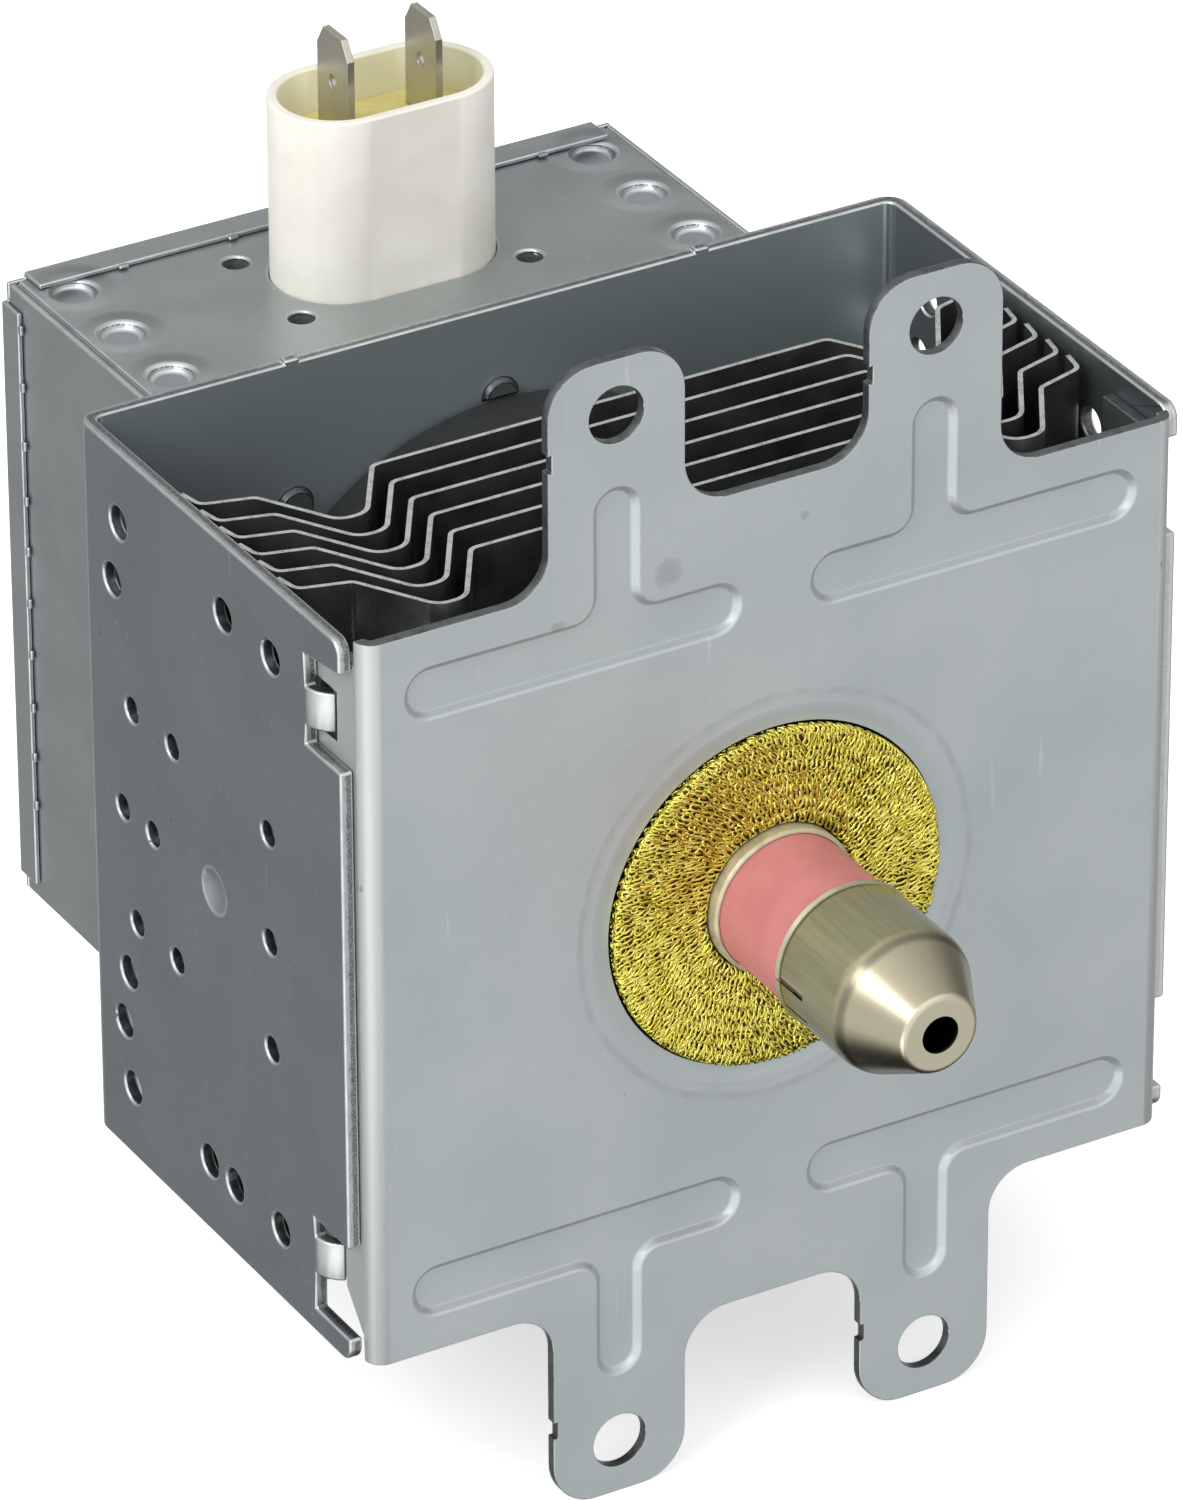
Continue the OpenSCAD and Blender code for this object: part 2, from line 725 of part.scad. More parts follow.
// Small steps that the shear leaves on one edge of each ear
module shear_marks() {
    mark_z = hole_z - ear_end / 2 - shear_mark;
    for (x = [-ear_x, ear_x], side = [-1, 1])
        translate([x - ear_w / 2 - cut, side * mark_z - 2 * shear_mark])
            square([shear_mark + cut, 4 * shear_mark]);
}

// Front edge of the flange's windows
window_start = notch_d - tab_bend_r * sin(tab_angle) - window_gap;

// Window in a flange for an upper clinch tab
module tab_window() {
    translate([window_start, tab_z - tab_w / 2 - window_gap])
        square([notch_d + window_gap - window_start, tab_w + 2 * window_gap]);
}

// Cut-out of a flange from a lower clinch tab down to the plate's edge
module tab_cutout() {
    top = low_tab_z + tab_w / 2 + window_gap;
    knee = low_tab_z - tab_w / 2;
    low = -half_h - cut;
    polygon([
        [window_start, top], [flange_d + cut, top], [flange_d + cut, low], [plate_bend_r, low],
        [plate_bend_r, low + 2 * leg_corner_r], [window_start, knee]
    ]);
}

// Cut at the upper end of a flange
module flange_end() {
    translate([plate_bend_r, half_h - flange_inset]) square([flange_d, flange_inset + cut]);
}

module front_plate() color(steel) {
    difference() {
        union() {
            translate([0, 0, -half_h]) linear_extrude(frame_h)
                mirror([0, 1, 0]) channel(2 * flange_x, -flange_d, 0, plate_t, plate_bend_r);
            upright(0, plate_t) ear_pair();
            upright(0, plate_t) mirror([0, 1]) ear_pair();
            translate([0, plate_t, 0]) both_x() both_z() t_rib(rib_w + 2 * rib_slope);
        }
        upright(-cut, plate_t + 2 * cut) mounting_holes();
        upright(-cut, plate_t + 2 * cut) shear_marks();
        both_x() both_z() t_rib(rib_w);
        bar_y(-cut, plate_t + 2 * cut, gasket_hole_r);
        bar_y(-cut, coin_depth + cut, gasket_hole_r + coin_w);
        both_x() sideways(flange_x - plate_t - cut, plate_t + 2 * cut) {
            tab_window();
            tab_cutout();
            flange_end();
        }
    }
}

// Magnets

module ring_magnet(y, d) color(ferrite) turned() {
    w = (d - magnet_bore) / 2;
    middle = (d + magnet_bore) / 4;
    halfway = y + magnet_t / 2;
    translate([middle, 0]) soft_end(w, halfway - cut, y + magnet_t, magnet_edge);
    translate([middle, 2 * halfway]) mirror([0, 1]) soft_end(w, halfway, y + magnet_t, magnet_edge);
}

module front_magnet() ring_magnet(plate_t, front_magnet_d);

module rear_magnet() ring_magnet(rear_magnet_start, rear_magnet_d);

// Anode and fins

module anode_cylinder() color(copper) difference() {
    ring_y(anode_front, anode_rear - anode_front, anode_r, cavity_r);
    bar_y(anode_front - cut, pole_t + cut, pole_rim_r + fit);
    bar_y(anode_rear - pole_t, pole_t + cut, pole_rim_r + fit);
}

// Ring-shaped groove for one strap, at both ends of a vane
module strap_groove(mean_r, touches) {
    depth = strap_inset + strap_h + (touches ? 0 : strap_clear);
    wide = strap_w / 2 + (touches ? fit : strap_clear);
    ring_y(vane_front - cut, depth + cut, mean_r + wide, mean_r - wide);
    ring_y(vane_rear - depth, depth + cut, mean_r + wide, mean_r - wide);
}

module anode_vane(i) color(copper) {
    odd = i % 2 == 1;
    rotate([0, -90 - 360 * (i - 1) / vane_count, 0]) difference() {
        intersection() {
            translate([vane_bore / 2, vane_front, -vane_t / 2]) cube([cavity_r, vane_h, vane_t]);
            bar_y(vane_front, vane_h, cavity_r);
        }
        strap_groove(strap_inner_r, odd);
        strap_groove(strap_outer_r, !odd);
    }
}

module strap_front(mean_r) color(copper)
    ring_y(vane_front + strap_inset, strap_h, mean_r + strap_w / 2, mean_r - strap_w / 2);

module strap_rear(mean_r) color(copper)
    ring_y(vane_rear - strap_inset - strap_h, strap_h, mean_r + strap_w / 2, mean_r - strap_w / 2);

// Right half of a fin's bent path, from the middle outwards
function fin_half() =
    let (slope_end = fin_flat + fin_slope_w, floor_end = slope_end + fin_floor_w)
    let (lip_x = wall_x - fin_wall_gap - fin_t / 2, knee_x = lip_x - fin_t)
    [
        [fin_flat, 0], [slope_end, -fin_dip], [floor_end, -fin_dip],
        [floor_end + fin_rise_w, 0], [knee_x, 3 * fin_t], [lip_x, 3 * fin_t + fin_lip]
    ];

function fin_path() = concat([for (p = reversed(fin_half())) [-p.x, p.y]], fin_half());

module cooling_fin(i) color(aluminium) {
    y = fin_first + (i - 1) * fin_pitch;
    path = fin_path();
    radii = [for (k = [1:len(path) - 2]) path[k].y < 0 ? fin_floor_r : fin_bend_r];
    difference() {
        translate([0, y, -half_h + fin_recess]) linear_extrude(frame_h - 2 * fin_recess)
            polygon(strip(rounded(path, radii), fin_t / 2, -fin_t / 2));
        bar_y(y - fin_t, 2 * fin_t, anode_r + fit);
    }
    ring_y(y + fin_t / 2 - cut / 2, fin_collar, anode_r + fit + fin_t, anode_r + fit);
}

// Tube

// Funnel-shaped pole piece at the front end of the anode
module pole_funnel() turned() {
    tip_y = vane_front - pole_gap;
    base_r = pole_tip_d / 2 + (tip_y - anode_front - pole_t) * tan(35);
    polygon([
        [pole_bore / 2, tip_y], [pole_tip_d / 2, tip_y], [base_r, anode_front + pole_t],
        [pole_rim_r, anode_front + pole_t], [pole_rim_r, anode_front], [base_r - pole_t / 2, anode_front],
        [pole_bore / 2, tip_y - pole_t]
    ]);
}

// Mirror image about the middle of the anode
module at_rear() {
    translate([0, 2 * anode_mid, 0]) mirror([0, 1, 0]) children();
}

// Path of the antenna lead: from a vane, through the front pole piece, to the end of the exhaust tube
antenna_path = [
    [0, vane_front, antenna_lead_offset], [0, vane_front - pole_gap, antenna_lead_offset],
    [0, anode_front - 2, antenna_lead_offset / 2], [0, 0, 0], [0, 1 - cap_shoulder, 0]
];

module front_pole_piece() color(iron) difference() {
    pole_funnel();
    rod_between(antenna_path[1], antenna_path[2], antenna_lead_d);
}

module rear_pole_piece() color(iron) at_rear() pole_funnel();

module cathode_filament() color("dimgray") {
    wire_r = filament_wire / 2;
    pitch = (vane_h - filament_wire) / filament_turns;
    translate([0, vane_front + wire_r, 0]) rotate([-90, 0, 0])
        wire(coil_points(filament_d / 2, pitch, filament_turns, 0), wire_r);
}

module cathode_front_hat() color("gray") {
    bar_y(vane_front - hat_t, hat_t, hat_d / 2);
}

module cathode_rear_hat() color("gray") ring_y(vane_rear, hat_t, hat_d / 2, lead_d / 2 + strap_clear);

// Depths at which the lead rods start and end their bend to the stem
lead_bend_start = rear_magnet_start + magnet_t / 2;
lead_bend_end = frame_d + cut;
lead_end = stem_plate_end + lead_tail;

module cathode_centre_lead() color("gray") bent_rod([
    [0, vane_front, 0], [0, lead_bend_start, 0], [lead_offset, lead_bend_end, 0], [lead_offset, lead_end, 0]
], lead_d / 2);

module cathode_side_lead() color("gray") bent_rod([
    [-hat_d / 2 + lead_d / 2, vane_rear + hat_t, 0], [-hat_d / 2 + lead_d / 2, lead_bend_start, 0],
    [-lead_offset, lead_bend_end, 0], [-lead_offset, lead_end, 0]
], lead_d / 2);

// Drawn sleeve: flange against a magnet, tube through its bore, seat for a ceramic at its far end.
// Heights count from the flange's anode side.
module seal_sleeve(r, rim, seat, ceramic_r, hole_r) turned() {
    bend = seal_bend;
    edge = seal_wall / 2;
    polygon([
        [anode_r, 0], [anode_r, seal_t], [r + bend, seal_t], [r, seal_t + bend],
        [r, rim - edge], [r - edge, rim], [ceramic_r + fit, rim],
        [ceramic_r + fit, seat], [hole_r, seat], [hole_r, seat - seal_wall],
        [r - seal_wall, seat - seal_wall], [r - seal_wall, bend], [r - seal_wall + bend, 0]
    ]);
}

// Inner radius of the ring on which a ceramic sits
function seat_hole(ceramic_r) = ceramic_r - ceramic_wall;

module output_seal_sleeve() color(nickel) translate([0, anode_front, 0]) mirror([0, 1, 0])
    seal_sleeve(sleeve_d / 2, anode_front + sleeve_rim, anode_front + seat_h,
        ceramic_d / 2, seat_hole(ceramic_d / 2));

module output_ceramic() color("#de8287")
    ring_y(-ceramic_end, ceramic_end - seat_h, ceramic_d / 2, ceramic_d / 2 - ceramic_wall);

// Heights of the exhaust tube in front of the mounting face
pinch_start = cap_shoulder - pinch_setback;
pinch_end = cap_tip - pinch_drop;

module exhaust_tube() color(copper) {
    tube_r = exhaust_d / 2;
    bore_r = tube_r - seal_wall;
    skirt_r = cap_d / 2 - cap_wall - fit;
    ring_y(-ceramic_end - seal_wall, seal_wall, skirt_r, bore_r);
    ring_y(-ceramic_end - ferrule_h, ferrule_h, skirt_r, skirt_r - seal_wall);
    ring_y(-pinch_start, pinch_start - ceramic_end, tube_r, bore_r);
    intersection() {
        bar_y(-pinch_end, pinch_end - pinch_start, tube_r);
        sideways(-tube_r, exhaust_d) polygon([
            [-pinch_start, -tube_r], [-pinch_start, tube_r],
            [-pinch_end, seal_wall], [-pinch_end, -seal_wall]
        ]);
    }
}

module antenna_lead() color(copper) bent_rod(antenna_path, antenna_lead_d / 2);

// Slits in the cap's rim, seen along the axis from the front
module cap_slits() {
    for (turn = [slit_angle, slit_angle + slit_spread]) rotate([0, -turn, 0])
        translate([cap_d / 4, -cap_rim - slit_l, -slit_w / 2]) cube([cap_d / 2, slit_l + cut, slit_w]);
}

module antenna_cap() color(nickel) difference() {
    turned() mirror([0, 1]) {
        path = rounded([
            [cap_d / 2 + cap_lip, cap_rim], [cap_d / 2, cap_rim + 3 * cap_lip], [cap_d / 2, cap_shoulder],
            [cap_tip_d / 2, cap_tip], [cap_hole_d / 2, cap_tip]
        ], [cap_lip, cap_shoulder_r, cap_tip_r]);
        polygon(strip(path, 0, cap_wall));
    }
    cap_slits();
}

module rf_gasket() color("#b5a03c") turned() {
    inner_r = sleeve_d / 2 + fit;
    w = gasket_d / 2 - inner_r;
    translate([inner_r + w / 2, 0]) mirror([0, 1]) soft_end(w, -plate_t, gasket_proud, gasket_edge);
}

module stem_seal_sleeve() color(nickel) translate([0, anode_rear, 0])
    seal_sleeve(stem_d / 2, stem_seat_y + seat_depth - anode_rear, stem_seat_y - anode_rear,
        ceramic_d / 2, seat_hole(ceramic_d / 2));

module stem_ceramic() color("#e6ddd2") difference() {
    bar_y(stem_seat_y, stem_h, ceramic_d / 2);
    both_x() translate([lead_offset, 0, 0]) bar_y(stem_seat_y - cut, stem_h + 2 * cut, lead_d / 2 + fit);
}

// Terminal plate on the right-hand lead
module stem_terminal() color(nickel) difference() {
    plate_w = 2 * (lead_offset - lead_d);
    translate([lead_offset - plate_w / 2, stem_end, -ceramic_d / 4])
        cube([plate_w, stem_plate_t, ceramic_d / 2]);
    translate([lead_offset, 0, 0]) bar_y(stem_end - cut, stem_plate_t + 2 * cut, lead_d / 2 + fit);
}

// Filter box

// Places of the clinch joints on the box's top
clinch_x = box_half - flap_w / 2 - cut;
clinch_y = box_front + 0.583 * box_d;

module fix_holes() {
    for (x = [-1, 1], y = [-1, 1])
        translate([x * fix_pitch_x / 2, case_y + y * fix_pitch_y / 2]) circle(d = fix_hole_d);
}

module box_openings() {
    translate([0, case_y]) oval(case_l + 2 * fit, case_w + 2 * fit);
    fix_holes();
}

// Round clinch joints of the right-hand flap
module clinch_row(z, h, low_r, top_r) {
    for (k = [-1:1]) translate([clinch_x, clinch_y + k * clinch_pitch, z])
        cylinder(h = h, r1 = low_r, r2 = top_r);
}

// Bowls of the joints, carried past the box's top at their own slope
module clinch_bowls() {
    floor_r = clinch_floor_d / 2;
    mouth_r = clinch_d / 2 + cut * (clinch_d - clinch_floor_d) / 2 / clinch_depth;
    clinch_row(box_top - clinch_depth, clinch_depth + cut, floor_r, mouth_r);
}

module filter_box() color(steel) {
    boss_h = clinch_depth / 2;
    difference() {
        union() {
            difference() {
                translate([-box_half, box_front, box_low]) cube([box_w, box_end - box_front, box_h]);
                translate([-box_half + box_t, box_front + box_t, box_low + box_t])
                    cube([box_w - 2 * box_t, box_d, box_h - 2 * box_t]);
            }
            both_x() translate([box_half - flap_w, box_front + 2 * box_t, top_in - box_t])
                cube([flap_w - box_t / 2, box_d - 2 * box_t - lid_overlap, box_t + cut / 2]);
            both_x()
                clinch_row(top_in - box_t - boss_h, boss_h + cut / 2, clinch_d / 2 - fit, clinch_d / 2);
        }
        translate([0, 0, top_in - cut]) linear_extrude(box_t + 2 * cut) box_openings();
        bar_y(box_front - cut, box_t + 2 * cut, stem_hole_r);
        both_x() clinch_bowls();
        both_x() translate([box_half - box_t - seam_w, box_front - cut, box_top - box_t / 2])
            cube([seam_w, box_d + 2 * cut, box_t]);
    }
    studs(frame_d - stud_h + fit, stud_d / 2 - stud_h / 2 - fit, stud_h - fit + box_t / 2);
}

module filter_box_lid() color(steel) {
    reach = fit + lid_t;
    flange_y = box_end - lid_overlap;
    flange_l = box_rear - flange_y;
    panel_y = box_rear - lid_t;
    side_h = box_h - 2 * lid_corner;
    top_w = box_w - 2 * lid_corner;
    translate([-box_half, panel_y, box_low]) cube([box_w, lid_t, box_h]);
    translate([-box_half - reach, panel_y, box_low + lid_corner]) cube([box_w + 2 * reach, lid_t, side_h]);
    translate([-top_w / 2, panel_y, box_low - reach]) cube([top_w, lid_t, box_h + 2 * reach]);
    both_x() translate([box_half + fit, flange_y, box_low + lid_corner]) cube([lid_t, flange_l, side_h]);
    for (z = [box_top + fit, box_low - reach]) translate([-top_w / 2, flange_y, z])
        cube([top_w, flange_l, lid_t]);
}

// Path of the right-hand choke's wire: from the stem's plate, up the coil, to the feed rod
function choke_path() =
    let (r = choke_d / 2, wire_r = choke_wire / 2, coil_h = choke_turns * choke_pitch)
    let (plate_y = stem_plate_end + wire_r + fit / 2)
    concat(
        [
            [lead_offset - wire_r, plate_y, -ceramic_d / 4 + wire_r],
            [lead_offset + 2, plate_y, choke_foot / 2]
        ],
        [for (p = coil_points(r, choke_pitch, choke_turns, 180)) p + [choke_x, case_y - r / 2, choke_foot]],
        [
            [plug_pitch / 2 + 2, case_y - wire_r, (choke_foot + coil_h + rod_foot) / 2],
            [plug_pitch / 2 - wire_r, case_y, rod_foot - wire_r - fit]
        ]
    );

module choke_coil() color("#8c4a2c") wire(choke_path(), choke_wire / 2);

module choke_core() color(ferrite) {
    slack = 2.5 * fit;
    r = choke_d / 2 * cos(15) - choke_wire / 2 - slack;
    middle = choke_foot + choke_turns * choke_pitch / 2;
    translate([choke_x, case_y - choke_d / 4, middle - core_l / 2]) cylinder(h = core_l, r = r);
}

// Capacitor

// Outline of the capacitor's inner pieces, smaller than the case by a wall
module inner_oval(wall) {
    translate([0, case_y]) oval(case_l - 2 * wall, case_w - 2 * wall);
}

module rod_holes(z, h, r) {
    for (side = [-1, 1]) translate([side * plug_pitch / 2, case_y, z - cut])
        cylinder(h = h + 2 * cut, r = r);
}

module ground_plate() color(dark_steel) difference() {
    margin = 2 * fix_hole_d;
    translate([0, 0, top_in - earth_t]) linear_extrude(earth_t) difference() {
        translate([0, case_y]) square([fix_pitch_x + margin, fix_pitch_y + margin], center = true);
        fix_holes();
    }
    rod_holes(top_in - earth_t, earth_t, rod_d);
}

module capacitor_base() color("#3d3a36") difference() {
    translate([0, 0, base_foot]) linear_extrude(base_h) inner_oval(case_wall);
    rod_holes(base_foot, base_h, rod_d / 2 + fit);
}

module capacitor_element() color("#8a5a44") difference() {
    translate([0, 0, top_in]) linear_extrude(resin_foot - top_in) inner_oval(2 * case_wall);
    rod_holes(top_in, resin_foot - top_in, rod_d / 2 + fit);
}

module capacitor_potting() color("#dccf7e") difference() {
    translate([0, 0, resin_foot]) linear_extrude(resin_t) inner_oval(case_wall + fit / 2);
    for (side = [-1, 1]) translate([side * plug_pitch / 2, case_y, resin_foot + resin_t / 2])
        cube([plug_t + fit, plug_w + fit, resin_t + cut], center = true);
}

module capacitor_case() color(ivory)
    translate([0, 0, top_in]) linear_extrude(case_rim - top_in) difference() {
        translate([0, case_y]) oval(case_l, case_w);
        inner_oval(case_wall);
    }

module feed_rod() color("silver") translate([plug_pitch / 2, case_y, rod_foot])
    cylinder(h = resin_foot - rod_foot, r = rod_d / 2);

// Outline of a plug tab in Y and Z, with a bevelled end
module plug_outline() {
    top = case_rim + plug_rise;
    bevel = plug_w / 5;
    half = plug_w / 2;
    difference() {
        translate([case_y, 0]) polygon([
            [-half, resin_foot], [half, resin_foot], [half, top - 1.6 * bevel], [half - bevel, top],
            [bevel - half, top], [-half, top - 1.6 * bevel]
        ]);
        translate([case_y, case_rim + plug_rise / 5]) circle(d = plug_hole_d);
    }
}

module terminal_tab() color("silver") sideways(plug_pitch / 2 - plug_t / 2, plug_t) plug_outline();

module left() {
    mirror([1, 0, 0]) children();
}

yoke_frame();
front_plate();
front_magnet();
rear_magnet();
anode_cylinder();
for (i = [1:vane_count]) anode_vane(i);
strap_front(strap_inner_r);  // strap_front_inner
strap_front(strap_outer_r);  // strap_front_outer
strap_rear(strap_inner_r);  // strap_rear_inner
strap_rear(strap_outer_r);  // strap_rear_outer
for (i = [1:fin_count]) cooling_fin(i);
front_pole_piece();
rear_pole_piece();
cathode_filament();
cathode_front_hat();
cathode_rear_hat();
cathode_centre_lead();
cathode_side_lead();
output_seal_sleeve();
output_ceramic();
antenna_lead();
exhaust_tube();
antenna_cap();
rf_gasket();
stem_seal_sleeve();
stem_ceramic();
left() stem_terminal();  // stem_terminal_left
stem_terminal();  // stem_terminal_right
filter_box();
filter_box_lid();
left() choke_coil();  // choke_coil_left
choke_coil();  // choke_coil_right
left() choke_core();  // choke_core_left
choke_core();  // choke_core_right
ground_plate();
capacitor_base();
capacitor_element();
capacitor_potting();
capacitor_case();
left() feed_rod();  // feed_rod_left
feed_rod();  // feed_rod_right
left() terminal_tab();  // terminal_tab_left
terminal_tab();  // terminal_tab_right
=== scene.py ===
"""Looks of a microwave-oven magnetron: finishes, knitted gasket, small wear, lights and camera."""

import logging
import math
import random
from collections.abc import Mapping, Sequence
from dataclasses import dataclass, field
from enum import Enum

import bmesh
import bpy
from mathutils import Matrix, Quaternion, Vector
from mathutils.bvhtree import BVHTree


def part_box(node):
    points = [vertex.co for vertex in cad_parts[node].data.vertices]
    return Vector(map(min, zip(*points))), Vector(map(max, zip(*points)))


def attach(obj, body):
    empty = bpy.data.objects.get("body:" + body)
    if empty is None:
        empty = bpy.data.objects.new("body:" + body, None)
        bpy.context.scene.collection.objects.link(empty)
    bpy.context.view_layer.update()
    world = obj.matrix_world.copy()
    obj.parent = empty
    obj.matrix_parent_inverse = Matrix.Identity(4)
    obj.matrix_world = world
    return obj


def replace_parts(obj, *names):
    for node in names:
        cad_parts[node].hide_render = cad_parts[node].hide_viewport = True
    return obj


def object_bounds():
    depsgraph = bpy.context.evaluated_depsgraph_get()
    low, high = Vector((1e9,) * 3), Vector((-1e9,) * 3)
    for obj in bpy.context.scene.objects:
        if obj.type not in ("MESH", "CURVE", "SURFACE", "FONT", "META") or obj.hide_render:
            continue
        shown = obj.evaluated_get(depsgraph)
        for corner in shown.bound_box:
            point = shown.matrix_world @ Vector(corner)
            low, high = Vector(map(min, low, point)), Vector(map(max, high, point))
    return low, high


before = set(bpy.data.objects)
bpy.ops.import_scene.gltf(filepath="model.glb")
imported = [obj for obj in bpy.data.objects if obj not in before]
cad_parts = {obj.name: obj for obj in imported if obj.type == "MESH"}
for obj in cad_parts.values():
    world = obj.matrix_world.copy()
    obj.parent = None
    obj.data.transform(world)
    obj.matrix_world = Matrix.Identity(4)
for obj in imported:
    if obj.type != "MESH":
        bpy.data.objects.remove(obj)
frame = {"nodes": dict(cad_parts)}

logging.basicConfig(level=logging.INFO, format="%(message)s")
log = logging.getLogger("magnetron")

MM: float = 0.001
REST_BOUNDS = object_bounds()

Colour = tuple[float, float, float]
Point = tuple[float, float, float]
Number = "Value | float"
Settings = Mapping[str, object]
Inputs = Mapping[str | int, object]


def rgb(red: int, green: int, blue: int) -> Colour:
    """Turns an 8-bit display colour into a linear one.

    Args:
        red: Red from 0 to 255.
        green: Green from 0 to 255.
        blue: Blue from 0 to 255.

    Returns:
        The linear colour.
    """
    def channel(value: int) -> float:
        """Turns one channel into a linear one."""
        share = value / 255
        return share / 12.92 if share <= 0.04045 else ((share + 0.055) / 1.055) ** 2.4

    return channel(red), channel(green), channel(blue)


class SheetSlot(Enum):
    """Material slots of a sheet after the first, which is its face's."""

    EDGE = 1
    HOLE = 2


class Value:
    """Output socket of a shader graph that can be calculated with."""

    def __init__(self, graph: "Graph", socket: bpy.types.NodeSocket) -> None:
        """Wraps an output socket of a graph."""
        self.graph = graph
        self.socket = socket

    def __add__(self, other: Number) -> "Value":
        """Sum."""
        return self.graph.math("ADD", self, other)

    __radd__ = __add__

    def __sub__(self, other: Number) -> "Value":
        """Difference."""
        return self.graph.math("SUBTRACT", self, other)

    def __rsub__(self, other: Number) -> "Value":
        """Difference from a number."""
        return self.graph.math("SUBTRACT", other, self)

    def __mul__(self, other: Number) -> "Value":
        """Product."""
        return self.graph.math("MULTIPLY", self, other)

    __rmul__ = __mul__

    def __truediv__(self, other: Number) -> "Value":
        """Quotient."""
        return self.graph.math("DIVIDE", self, other)

    def __rtruediv__(self, other: Number) -> "Value":
        """Quotient of a number."""
        return self.graph.math("DIVIDE", other, self)

    def __pow__(self, other: Number) -> "Value":
        """Power."""
        return self.graph.math("POWER", self, other)

    def __rpow__(self, other: Number) -> "Value":
        """Power of a number."""
        return self.graph.math("POWER", other, self)

    def __abs__(self) -> "Value":
        """Size without its sign."""
        return self.graph.math("ABSOLUTE", self)

    def least(self, other: Number) -> "Value":
        """Smaller of two values."""
        return self.graph.math("MINIMUM", self, other)

    def most(self, other: Number) -> "Value":
        """Larger of two values."""
        return self.graph.math("MAXIMUM", self, other)

    def rounded(self) -> "Value":
        """Nearest whole number."""
        return self.graph.math("ROUND", self)

    def hypot(self, other: "Value") -> "Value":
        """Length of the diagonal of two distances."""
        return self.graph.math("SQRT", self ** 2 + other ** 2)

    def angle(self, other: "Value") -> "Value":
        """Angle, in radians, of the point that has this distance across and the other along."""
        return self.graph.math("ARCTAN2", self, other)

    def ramp(self, low: float, high: float) -> "Value":
        """Rises softly from 0 at low to 1 at high.

        Args:
            low: Value that gives 0.
            high: Value that gives 1.

        Returns:
            The eased share.
        """
        settings = {"interpolation_type": "SMOOTHSTEP"}
        values = {"Value": self, "From Min": low, "From Max": high}
        return self.graph.value("ShaderNodeMapRange", settings, values)

    def band(self, middle: float, half: float, soft: float) -> "Value":
        """Gives 1 up to half a width from the middle, and 0 beyond a soft edge."""
        return 1 - abs(self - middle).ramp(half, half + soft)

    def mix(self, one: object, other: object) -> "Value":
        """Mixes two colours, of which this is the share of the second."""
        return self.graph.value("ShaderNodeMix", {"data_type": "RGBA"}, {0: self, 6: one, 7: other}, 2)

    def noise(self, size: float, detail: float = 3.0, stretch: Colour = (1, 1, 1)) -> "Value":
        """Random pattern at this position.

        Args:
            size: Size of the pattern's spots in millimetres.
            detail: Number of finer layers.
            stretch: Factors on the three directions.

        Returns:
            The pattern, from 0 to 1.
        """
        moved = self.graph.value("ShaderNodeMapping", values={"Vector": self, "Scale": stretch})
        values = {"Vector": moved, "Scale": 1 / size, "Detail": detail}
        return self.graph.value("ShaderNodeTexNoise", values=values)

    def cells(self, size: float) -> "Value":
        """Distance from the nearest of random points a size apart, in shares of that size."""
        return self.graph.value("ShaderNodeTexVoronoi", values={"Vector": self, "Scale": 1 / size})

    def split(self) -> list["Value"]:
        """The three parts of this vector."""
        parts = self.graph.node("ShaderNodeSeparateXYZ", values={"Vector": self})
        return [Value(self.graph, part) for part in parts.outputs]

    def along(self, direction: Vector) -> "Value":
        """How far this vector points in a direction, from -1 to 1."""
        values = {0: self, 1: direction.normalized()}
        return self.graph.value("ShaderNodeVectorMath", {"operation": "DOT_PRODUCT"}, values, "Value")


@dataclass
class Place:
    """Position on a piece in millimetres."""

    x: Value
    y: Value
    z: Value
    at: Value


class Graph:
    """Node tree of a material or a world."""

    def __init__(self, tree: bpy.types.NodeTree) -> None:
        """Starts from an existing tree."""
        self.tree = tree

    def node(
        self, kind: str, settings: Settings | None = None, values: Inputs | None = None
    ) -> bpy.types.Node:
        """Adds one node.

        Args:
            kind: Node type.
            settings: Attributes, which are set before the sockets.
            values: Values or links of the input sockets.

        Returns:
            The new node.
        """
        made = self.tree.nodes.new(kind)
        for name, setting in (settings or {}).items():
            setattr(made, name, setting)
        for name, value in (values or {}).items():
            self.feed(made.inputs[name], value)
        return made

    def feed(self, socket: bpy.types.NodeSocket, value: object) -> None:
        """Links a value to a socket, or sets a constant on it.

        Args:
            socket: Input socket.
            value: Value to link, or a constant.
        """
        if isinstance(value, Value):
            self.tree.links.new(value.socket, socket)
        elif isinstance(value, tuple) and len(value) == 3 and len(socket.default_value) == 4:
            socket.default_value = (*value, 1.0)
        else:
            socket.default_value = value

    def value(
        self, kind: str, settings: Settings | None = None, values: Inputs | None = None, output: str | int = 0
    ) -> Value:
        """Adds one node and gives the output of a name or number."""
        return Value(self, self.node(kind, settings, values).outputs[output])

    def math(self, operation: str, *terms: Number) -> Value:
        """Adds a calculation with its terms."""
        return self.value("ShaderNodeMath", {"operation": operation}, dict(enumerate(terms)))

    def combine(self, x: Number, y: Number, z: Number) -> Value:
        """Puts three numbers together to a vector."""
        return self.value("ShaderNodeCombineXYZ", values={0: x, 1: y, 2: z})

    def place(self) -> Place:
        """Position on the piece.

        Returns:
            The position in millimetres.
        """
        where = self.value("ShaderNodeTexCoord", output="Object")
        values = {"Vector": where, "Scale": 1 / MM}
        scaled = self.value("ShaderNodeVectorMath", {"operation": "SCALE"}, values)
        return Place(*scaled.split(), scaled)


